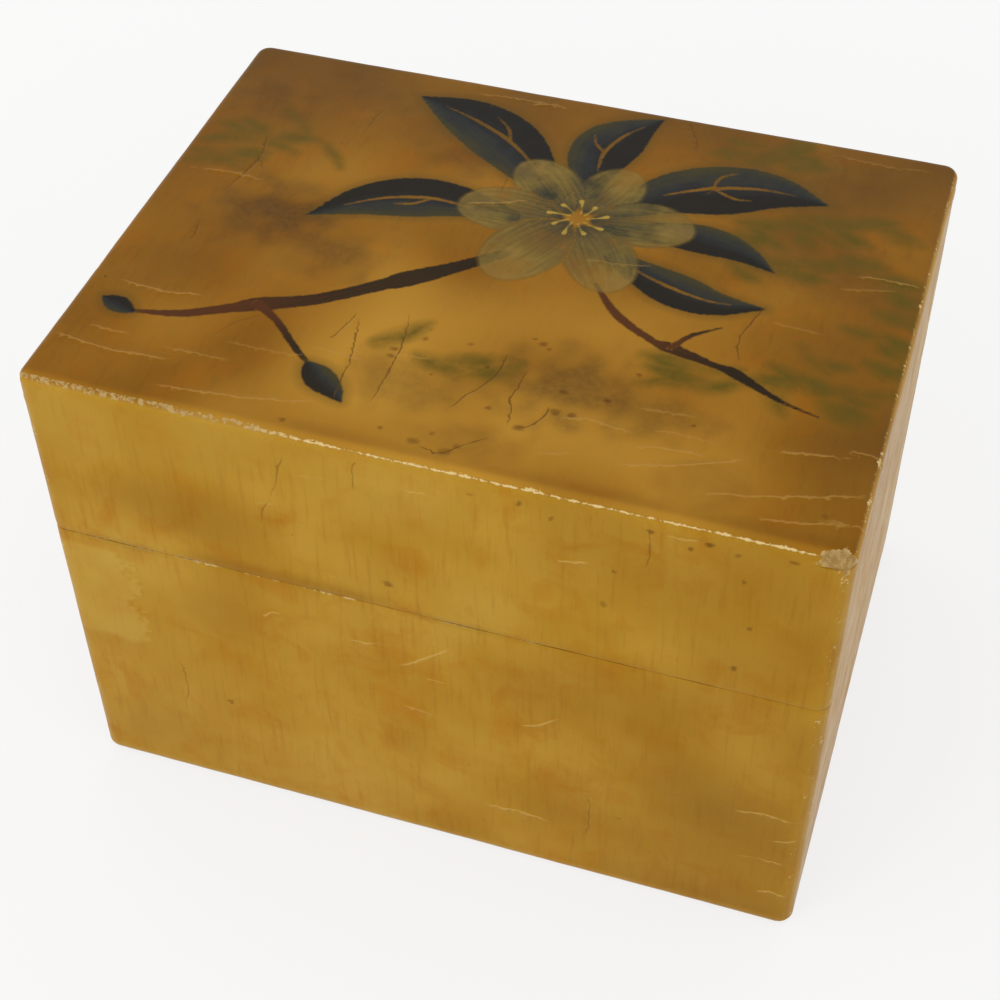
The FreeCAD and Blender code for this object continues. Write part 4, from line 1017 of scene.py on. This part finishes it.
def buildTop():
    low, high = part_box("top_covering")
    bm, normals, flat = foldedSheet(low, high, covering["topStep"], True)
    places = [tuple(v.co) for v in bm.verts]
    dice = random.Random(topMarks["seed"])
    broad, small, grain = paperClouds(places)
    corner, edge = covering["corner"] / mm, covering["edge"] / mm
    arris = corner - edge + edge * math.pi / 4
    turnX, turnY = high.x / mm - corner + arris, high.y / mm - corner + arris
    s, t = flat[:, 0], flat[:, 1]
    front, back, left, right = -turnY - t, t - turnY, -turnX - s, s - turnX
    ridges = topMarks["ridges"] + strayLines(dice, topMarks["strayRidges"], (-56, -41), (56, 41),
                                             (4, 11), .05, .1)
    cracks = topMarks["cracks"] + strayLines(dice, topMarks["strayCracks"], (-50, -38), (50, 38),
                                             (4, 10), 1.5, .2)
    ridge, crack = tornLines(flat, ridges, small, grain), tornLines(flat, cracks, small, grain)

    # the front arris is rubbed grainy on its left third; beyond it a thin beaded pale line is painted, a
    # highlight of the gloss on the rounded arris
    leftThird = smoothStep(topWearAndGlint["thirdTo"], topWearAndGlint["thirdFull"], s)
    wander = front + .1 * small + .25 * leftThird
    band = topWearAndGlint["bandHalf"] + topWearAndGlint["thirdWider"] * leftThird
    strength = topWearAndGlint["front"] - .17 * leftThird + .12 * small
    wearAndGlint = smoothStep(band + .22, band - .12, np.abs(wander)) * strength
    for side, strength in ((back, topWearAndGlint["back"]), (left, topWearAndGlint["left"]), (right, topWearAndGlint["right"])):
        wearAndGlint = np.maximum(wearAndGlint, smoothStep(.6, .1, np.abs(side)) * (strength + .22 * small))
    # small pale spots: painted glints on the right arris, a rubbed place on the left one
    for x, rubs in ((turnX, topWearAndGlint["rightGlints"]), (-turnX, topWearAndGlint["leftRubs"])):
        for y in rubs:
            far = np.hypot((s - x) * 1.6, (t - y) * .4)
            wearAndGlint = np.maximum(wearAndGlint, .7 * smoothStep(1.1, .3, far + .3 * grain))
    far = np.hypot((s - turnX + 1) * .75, t + turnY + .6)
    chip = smoothStep(3.2, 1.8, far + .5 * grain + .4 * small)    # the front right corner is chipped
    wearAndGlint = np.maximum(wearAndGlint, chip)
    fold = smoothStep(-.35, .35, np.maximum.reduce([front, back, left, right]))

    # handling has browned a strip behind the front arris, the middle of that edge and scattered spots
    behind = -front
    grimeAndShade = smoothStep(.6, 1.8, behind) * smoothStep(5, 2.4, behind) * .28 * (1 - leftThird)
    grimeAndShade = np.maximum(grimeAndShade, .55 * smoothStep(7, 1, np.hypot((s - 6) / 1.7, t + 38.5) + small))
    grimeAndShade = np.maximum(grimeAndShade, .4 * smoothStep(.6, 1.1, broad))
    for x, y, reach in topSpots:
        far = np.hypot(s - x, (t - y) * 1.3)
        grimeAndShade = np.maximum(grimeAndShade, smoothStep(.9 * reach, .3 * reach, far + .3 * grain))

    depth = wrinkledPaper(broad, small, ridge, crack)
    torn = relief["wornAndGlint"] * smoothStep(.45, .75, wearAndGlint) * (1 + .6 * grain)
    depth -= torn + relief["topChip"] * chip * (1 + grain)
    sink(bm, normals, depth)

    layers = {"ink": overlaid(flat, spray["leaves"] + spray["buds"], .3),
              "petal": overlaid(flat, spray["petals"], -.12), "twig": overlaid(flat, spray["twigs"], 0)}
    painted = {}
    for kind, (inside, along, across) in layers.items():
        painted.update({kind: inside, kind + "Along": along, kind + "Across": across})
    for stations in spray["veins"]:
        painted["ink"] = np.minimum(painted["ink"], -inStroke(flat, stations)[0])
    painted["stamen"] = np.maximum.reduce([inStroke(flat, stations)[0] for stations in spray["stamens"]])
    painted.update({"dab": dabField(flat, random.Random(spray["seed"])), "smudge": smudgeField(flat, small)})

    # the top is painted palest at the middle of its front half, a painted sheen of light on the varnish, and
    # right behind the front arris, a painted highlight on its rounded edge; it is painted deeper towards the
    # back and both sides, as shade
    tone = .45 * broad - .5 * smoothStep(14, 44, t) - .3 * smoothStep(30, 60, s)
    tone -= .2 * smoothStep(-40, -58, s)
    # painted sheen of light on the middle of the top's front half
    paintedSheen = .75 * smoothStep(34, 8, np.hypot((s - 2) / 1.6, t + 26))
    tone += paintedSheen - .25 * smoothStep(-10, -50, s) * smoothStep(5, 40, t)
    # painted highlight on the rounded front arris
    tone += .45 * smoothStep(2.2, .6, behind) * smoothStep(-.2, .2, behind)
    height = np.array([p[2] for p in places]) / mm
    along = np.where(front > 0, s, elsewhere)
    tone = tone * (1 - fold) + fold * sideTone(along, height, broad)
    browned = np.maximum(chip, .85 * leftThird * smoothStep(3, 1.5, np.abs(front)))
    giveFields(bm, {**markFields(ridge, crack), **painted, "wearAndGlint": wearAndGlint, "chip": browned,
                    "grimeAndShade": grimeAndShade * (1 - fold), "tone": tone, "fold": fold})
    closeSheet(bm, high, True)
    finishPiece("lidTopSkin", bm, paintedTop, "lid", ["top_covering"])


# the blister is a raised flap of paper near the front's left end, with its torn edge at blisterX
bandLook = {"blisterX": -47.5, "blisterLow": 31, "blisterHigh": 53.2, "waver": .05, "seamWorn": .42,
            "cornerWorn": .2, "chipX": 60.5, "chipUp": 86}


def buildBand(name, node, body, stepAlong, stepUp, lines, seamAbove):
    # one of the two bands round the sides; the seam is the base band's upper rim and the lid band's lower one
    look = bandLook
    low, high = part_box(node)
    bm, normals, flat = wrappedBand(low, high, stepAlong, stepUp)
    places = [tuple(v.co) for v in bm.verts]
    broad, small, grain = paperClouds(places)
    along, up = flat[:, 0], flat[:, 1]
    seam = high.z / mm - up if seamAbove else up - low.z / mm
    ridge, crack = (tornLines(flat, marks, small, grain) for marks in lines)
    front = np.abs(along) < frontMarks["halfWide"]
    lifted = np.zeros(len(flat))
    if seamAbove:
        # a paler blister of paper near the left end, torn along its right side
        ragged = along - look["blisterX"] + 1.3 * grain + 1.6 * small + .05 * (up - 44)
        rising = smoothStep(look["blisterLow"], look["blisterLow"] + 3, up + 2 * small)
        falling = smoothStep(look["blisterHigh"], look["blisterHigh"] - 1, up)
        lifted = front * smoothStep(.4, -.4, ragged) * rising * falling
    depth = wrinkledPaper(broad, small, ridge, crack)
    depth += relief["blister"] * lifted - relief["seamDip"] * smoothStep(.8, 0, seam)

    # along the seam the paper is rubbed, less so at the front's right end and round the other sides
    rightEnd = smoothStep(18, 30, along) * front
    shadowed = smoothStep(-42, -32, along) * smoothStep(2, -12, along) * front
    strength = look["seamWorn"] + .3 * small + .2 * shadowed * seamAbove - .3 * rightEnd - .1 * (1 - front)
    rubbed = smoothStep(.5, .1, seam) * strength
    corner = smoothStep(.06, .4, np.minimum(np.abs(normals[:, 0]), np.abs(normals[:, 1])))
    wearAndGlint = np.maximum(rubbed, corner * (look["cornerWorn"] + .25 * small))
    chip = np.zeros(len(flat))
    if not seamAbove:
        far = np.hypot(along - look["chipX"], (up - look["chipUp"]) * .8)
        chip = smoothStep(4.4, 2.6, far + .6 * grain + .4 * small)
        wearAndGlint = np.maximum(wearAndGlint, chip)
    depth -= relief["wornAndGlint"] * smoothStep(.45, .8, wearAndGlint) * (1 + .6 * grain) + relief["sideChip"] * chip
    sink(bm, normals, depth)

    # the cut edge of the paper wanders a little along the seam
    waver = np.clip(cloud([(p[0], p[1], 0) for p in places], 7 * mm, 8) * .07, -.02, .14)
    shifts = smoothStep(1.2, 0, seam) * (look["waver"] - waver) * (1 if seamAbove else -1)
    for vert, shift in zip(bm.verts, shifts):
        vert.co.z += shift * mm
    # the paper is darker within 1.6 mm of the seam: grime, and a painted shadow of the joint
    grimeAndShade = .32 * smoothStep(1.6, .2, seam) * (.6 + .6 * broad - .3 * rightEnd)
    grimeAndShade = np.maximum(grimeAndShade, .14 * smoothStep(.6, 1.1, broad))
    for x, z, reach in sideSpots:
        far = np.hypot(along - x, up - z)
        grimeAndShade = np.maximum(grimeAndShade, smoothStep(.9 * reach, .35 * reach, far + .3 * grain))
    browned = np.maximum(chip, smoothStep(1.4, .8, seam) * (1 - .7 * shadowed))
    seamShade = (0 if seamAbove else .55) * shadowed * smoothStep(3.4, .8, seam)
    tone = sideTone(along, up, broad) + .6 * lifted - seamShade
    giveFields(bm, {**markFields(ridge, crack), "wearAndGlint": wearAndGlint, "chip": browned, "grimeAndShade": grimeAndShade,
                    "fold": np.ones(len(flat)), "tone": tone})
    closeBand(bm, high)
    finishPiece(name, bm, plainSides, body, [node])


bottomMarks = {"strayRidges": 20, "ridgeSeed": 5, "strayCracks": 8, "crackSeed": 6, "restingUneven": .03}


def buildBottom():
    low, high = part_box("bottom_covering")
    bm, normals, flat = foldedSheet(low, high, covering["bottomStep"], False)
    places = [tuple(v.co) for v in bm.verts]
    broad, small, grain = paperClouds(places)
    resting = smoothStep(.97, 1, np.abs(normals[:, 2]))
    ridge = thinLines(flat, strayLines(random.Random(bottomMarks["ridgeSeed"]), bottomMarks["strayRidges"],
                                       (-54, -40), (54, 40), (5, 12), .1, .1))
    crack = thinLines(flat, strayLines(random.Random(bottomMarks["crackSeed"]), bottomMarks["strayCracks"],
                                       (-50, -36), (50, 36), (4, 10), 1.5, .2))
    # the sheet lies flat where the box stands on it
    lying = bottomMarks["restingUneven"] * resting * (1.4 + np.clip(small, -1, 1))
    sink(bm, normals, unevenPaper(broad, small) * (1 - resting) - lying)
    height = np.array([p[2] for p in places]) / mm
    turning = 1 - smoothStep(.985, 1, np.abs(normals[:, 2]))
    scuffed = smoothStep(.35, .1, height) * turning * (.55 + .25 * small)
    along = np.where(normals[:, 1] < -.5, flat[:, 0], elsewhere)
    giveFields(bm, {**markFields(ridge, crack), "wearAndGlint": scuffed, "chip": np.ones(len(flat)),
                    "grimeAndShade": .45 * resting * (.6 + .6 * broad), "fold": np.ones(len(flat)),
                    "tone": sideTone(along, height, broad) * (1 - resting) - .3 * resting})
    closeSheet(bm, high, False)
    finishPiece("bottomSkin", bm, plainSides, "base", ["bottom_covering"])


sideLines = sideMarks(random.Random(frontMarks["seed"]))
buildTop()
buildBand("lidSideSkin", "lid_side_covering", "lid", covering["lidStep"], covering["lidStepUp"],
          sideLines, False)
buildBand("baseSideSkin", "base_side_covering", "base", covering["baseStep"], covering["baseStep"],
          sideLines, True)
buildBottom()


# The brush's cane and hair, turned about the brush's own axis. Waist, swells, dips and grooves are shares of
# the radius, joints shares of the cane's length; pitches and jointLong are millimetres. hairShape is the CAD
# hair's outline: its radius at each share of its length

brushLook = {"caneSides": 56, "canePitch": .5, "caneWaist": .9, "joints": (.3, .72), "jointSwell": .1,
             "jointLong": 1.5, "jointDip": .07, "endSwell": .06, "hairSides": 180, "hairPitch": .35,
             "hairGroove": .1, "hairShape": ((0, .965), (.12, .985), (.29, 1), (.5, .9), (.7, .7), (.86, .42),
                                             (.95, .21), (1, .05))}


def turnedRod(node, sides, pitch):
    # a closed rod along X as wide as the node's box, with rings of vertices every pitch millimetres
    low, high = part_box(node)
    long, radius, axis = high.x - low.x, (high.z - low.z) / 2, (low + high) / 2
    bm = bmesh.new()
    turned = Matrix.Translation(axis) @ Matrix.Rotation(math.pi / 2, 4, "Y")
    bmesh.ops.create_cone(bm, cap_ends=True, segments=sides, radius1=radius, radius2=radius, depth=long,
                          matrix=turned)
    lengthwise = [e for e in bm.edges if abs(e.verts[0].co.x - e.verts[1].co.x) > long / 2]
    bmesh.ops.subdivide_edges(bm, edges=lengthwise, cuts=round(long / mm / pitch) - 1, use_grid_fill=True)
    spots = np.array([v.co for v in bm.verts])
    along = (spots[:, 0] - low.x) / long
    angle = np.arctan2(spots[:, 2] - axis.z, spots[:, 1] - axis.y)
    return bm, axis, radius, long, along, angle


def reshaped(bm, axis, radius, angle):
    for vert, far, turn in zip(bm.verts, radius, angle):
        vert.co.y, vert.co.z = axis.y + far * math.cos(turn), axis.z + far * math.sin(turn)


def buildCane():
    # two joints swell out of the cane, each with a scar where the leaf sheath came off and a groove beside it
    look = brushLook
    bm, axis, radius, long, along, angle = turnedRod("brush_handle", look["caneSides"], look["canePitch"])
    out, joint, scar = np.full(len(along), look["caneWaist"]), np.zeros(len(along)), np.zeros(len(along))
    swell = look["jointLong"] * mm / long
    for place in look["joints"]:
        off = along - place + .002 * np.sin(angle * 2)
        beside = off - 1.1 * swell
        dip = look["jointDip"] * np.exp(-(beside / (.35 * swell)) ** 2)
        out += look["jointSwell"] * np.exp(-(off / swell) ** 2) - dip
        joint = np.maximum(joint, np.exp(-(off / (4 * swell)) ** 2))
        scar = np.maximum(scar, smoothStep(.42, .25, np.abs(beside) / swell))
    out += look["endSwell"] * np.maximum(smoothStep(.06, 0, along), smoothStep(.94, 1, along))
    out += .012 * np.sin(angle * 2 + along * 3) + .006 * np.sin(angle * 3 - along * 9)
    reshaped(bm, axis, np.minimum(out, 1) * radius, angle)
    giveFields(bm, {"joint": joint, "scar": scar})
    finishPiece("caneHandle", bm, bambooCane(), "brush", ["brush_handle"])


def buildHair():
    # hairs lie together in locks that draw in to the point
    look = brushLook
    bm, axis, radius, long, along, angle = turnedRod("brush_tuft", look["hairSides"], look["hairPitch"])
    spots = [(math.cos(a) * 1.6, math.sin(a) * 1.6, t * .5) for a, t in zip(angle, along)]
    locks, hairs = cloud(spots, .34, 2), cloud(spots, .09, 3)
    body = np.interp(along, *zip(*look["hairShape"]))
    shadedGroove = np.clip(.5 - .6 * locks - .5 * hairs, 0, 1)
    depth = look["hairGroove"] * shadedGroove * (.25 + .75 * smoothStep(0, .25, along))
    reshaped(bm, axis, body * (1 - depth) * radius, angle)
    giveFields(bm, {"shadedGroove": shadedGroove})
    finishPiece("hairLocks", bm, combedHair(), "brush", ["brush_tuft"])


buildCane()
buildHair()
print("brush dressed")


# Finishes for the nodes that keep their CAD shape

woods = {(kind, way): sawnWood(f"{kind}{way.upper()}", look, way)
         for kind, look in (("paulowniaBoard", boxWoodLook), ("cedarStrip", lipWoodLook),
                            ("wipedTrayWood", trayWoodLook))
         for way in ("x", "y")}
lining, slate, brass = pastedLining(), honedSlate(), agedBrass()
finishes = [
    (splitBamboo(), ["base_pegs", "lid_pegs"]),
    (woods["paulowniaBoard", "x"], ["base_front_wall", "base_back_wall", "bottom_board", "lid_front_wall",
                                    "lid_back_wall", "top_board"]),
    (woods["paulowniaBoard", "y"], ["base_left_wall", "base_right_wall", "lid_left_wall", "lid_right_wall"]),
    (woods["cedarStrip", "x"], ["front_lip", "back_lip", "front_ledge", "back_ledge"]),
    (woods["cedarStrip", "y"], ["left_lip", "right_lip"]),
    (woods["wipedTrayWood", "x"], ["tray_floor", "tray_front_wall", "tray_back_wall", "long_divider"]),
    (woods["wipedTrayWood", "y"], ["tray_left_wall", "tray_right_wall", "cross_divider"]),
    (lining, ["floor_lining", "lid_lining"]),
    (slate, ["inkstone"]),
    (brass, ["dropper_vessel", "dropper_plate"]),
    (pressedInk(), ["ink_stick"]),
    (polishedHorn(), ["brush_tail", "brush_ferrule"]),
]
nodeObjects = {o["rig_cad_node"]: o for o in bpy.context.scene.objects if "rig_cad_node" in o}
for finish, names in finishes:
    for name in names:
        for place in nodeObjects[name].material_slots:
            place.material = finish
print("finishes given")


# Stage: a pale table, soft lamps and the camera, in metres and watts

stageLook = {"table": "#efefed", "tableHalf": 1.6, "whiter": .75, "whiteFrom": .15, "whiteBy": .7, "air": .8,
             "backdrop": 1, "keyWatts": 1.5, "keyPlace": (-.42, -.62, .5), "keySize": .5, "fillWatts": .3,
             "fillPlace": (.35, -.6, .6), "fillSize": .5, "aimedAt": (0, 0, .04)}


def seenRays(tree):
    # 1 for what the camera, a gloss or a glass looks at, 0 for the rays that light the object
    rays = add(tree, "LightPath").outputs
    seen = add(tree, "Math", {0: rays["Is Camera Ray"], 1: rays["Is Glossy Ray"]},
               operation="MAXIMUM").outputs[0]
    return add(tree, "Math", {0: seen, 1: rays["Is Transmission Ray"]}, operation="MAXIMUM").outputs[0]


table = bmesh.new()
bmesh.ops.create_grid(table, x_segments=4, y_segments=4, size=stageLook["tableHalf"])
tableMesh = bpy.data.meshes.new("paleTable")
table.to_mesh(tableMesh)
table.free()
tableTop = bpy.data.objects.new("paleTable", tableMesh)
shelf.objects.link(tableTop)
paleFinish, tree, where = freshMaterial("palePaperBackdrop")
paper = add(tree, "BsdfDiffuse", {"Color": paint(stageLook["table"])})
seen = seenRays(tree)
# far from the object the table turns as white as the backdrop, so no horizon shows
far = add(tree, "VectorMath", {0: where}, operation="LENGTH").outputs["Value"]
whiter = add(tree, "MapRange", {0: far, 1: stageLook["whiteFrom"], 2: stageLook["whiteBy"],
                                3: stageLook["whiter"], 4: 1}).outputs[0]
lift = add(tree, "Math", {0: seen, 1: whiter}, operation="MULTIPLY").outputs[0]
white = add(tree, "Emission", {"Color": (1, 1, 1, 1), "Strength": stageLook["backdrop"]})
mixed = add(tree, "MixShader", {0: lift, 1: paper.outputs[0], 2: white.outputs[0]})
add(tree, "OutputMaterial", {"Surface": mixed.outputs[0]})
tableMesh.materials.append(paleFinish)

room = bpy.data.worlds.new("softRoom")
room.use_nodes = True
bpy.context.scene.world = room
tree = room.node_tree
tree.nodes.clear()
strength = add(tree, "MapRange", {0: seenRays(tree), 3: stageLook["air"], 4: stageLook["backdrop"]})
air = add(tree, "Background", {"Color": (1, 1, 1, 1), "Strength": strength.outputs[0]})
tree.links.new(air.outputs[0], add(tree, "OutputWorld").inputs["Surface"])


def softLamp(name, watts, place, size):
    lamp = bpy.data.lights.new(name, "AREA")
    lamp.energy, lamp.size = watts, size
    made = bpy.data.objects.new(name, lamp)
    made.location = place
    aim = Vector(stageLook["aimedAt"]) - Vector(place)
    made.rotation_euler = aim.to_track_quat("-Z", "Y").to_euler()
    shelf.objects.link(made)


softLamp("keyLamp", stageLook["keyWatts"], stageLook["keyPlace"], stageLook["keySize"])
softLamp("fillLamp", stageLook["fillWatts"], stageLook["fillPlace"], stageLook["fillSize"])

# the camera's place and axes were fitted to the corners of the box in the photograph
photoView = {"lens": 68.3, "sensor": 36, "nearest": .01, "farthest": 10, "place": (.0684, -.2128, .2638),
             "right": (.9512, .3083, -.0087), "up": (-.2146, .6818, .6994), "back": (.2215, -.6634, .7147)}
lens = bpy.data.cameras.new("photoCamera")
lens.lens, lens.sensor_width = photoView["lens"], photoView["sensor"]
lens.clip_start, lens.clip_end = photoView["nearest"], photoView["farthest"]
camera = bpy.data.objects.new("photoCamera", lens)
turned = Matrix((photoView["right"], photoView["up"], photoView["back"])).transposed().to_4x4()
camera.matrix_world = Matrix.Translation(photoView["place"]) @ turned
shelf.objects.link(camera)
bpy.context.scene.camera = camera
bpy.context.scene.view_settings.view_transform = "Standard"

print("stage set")
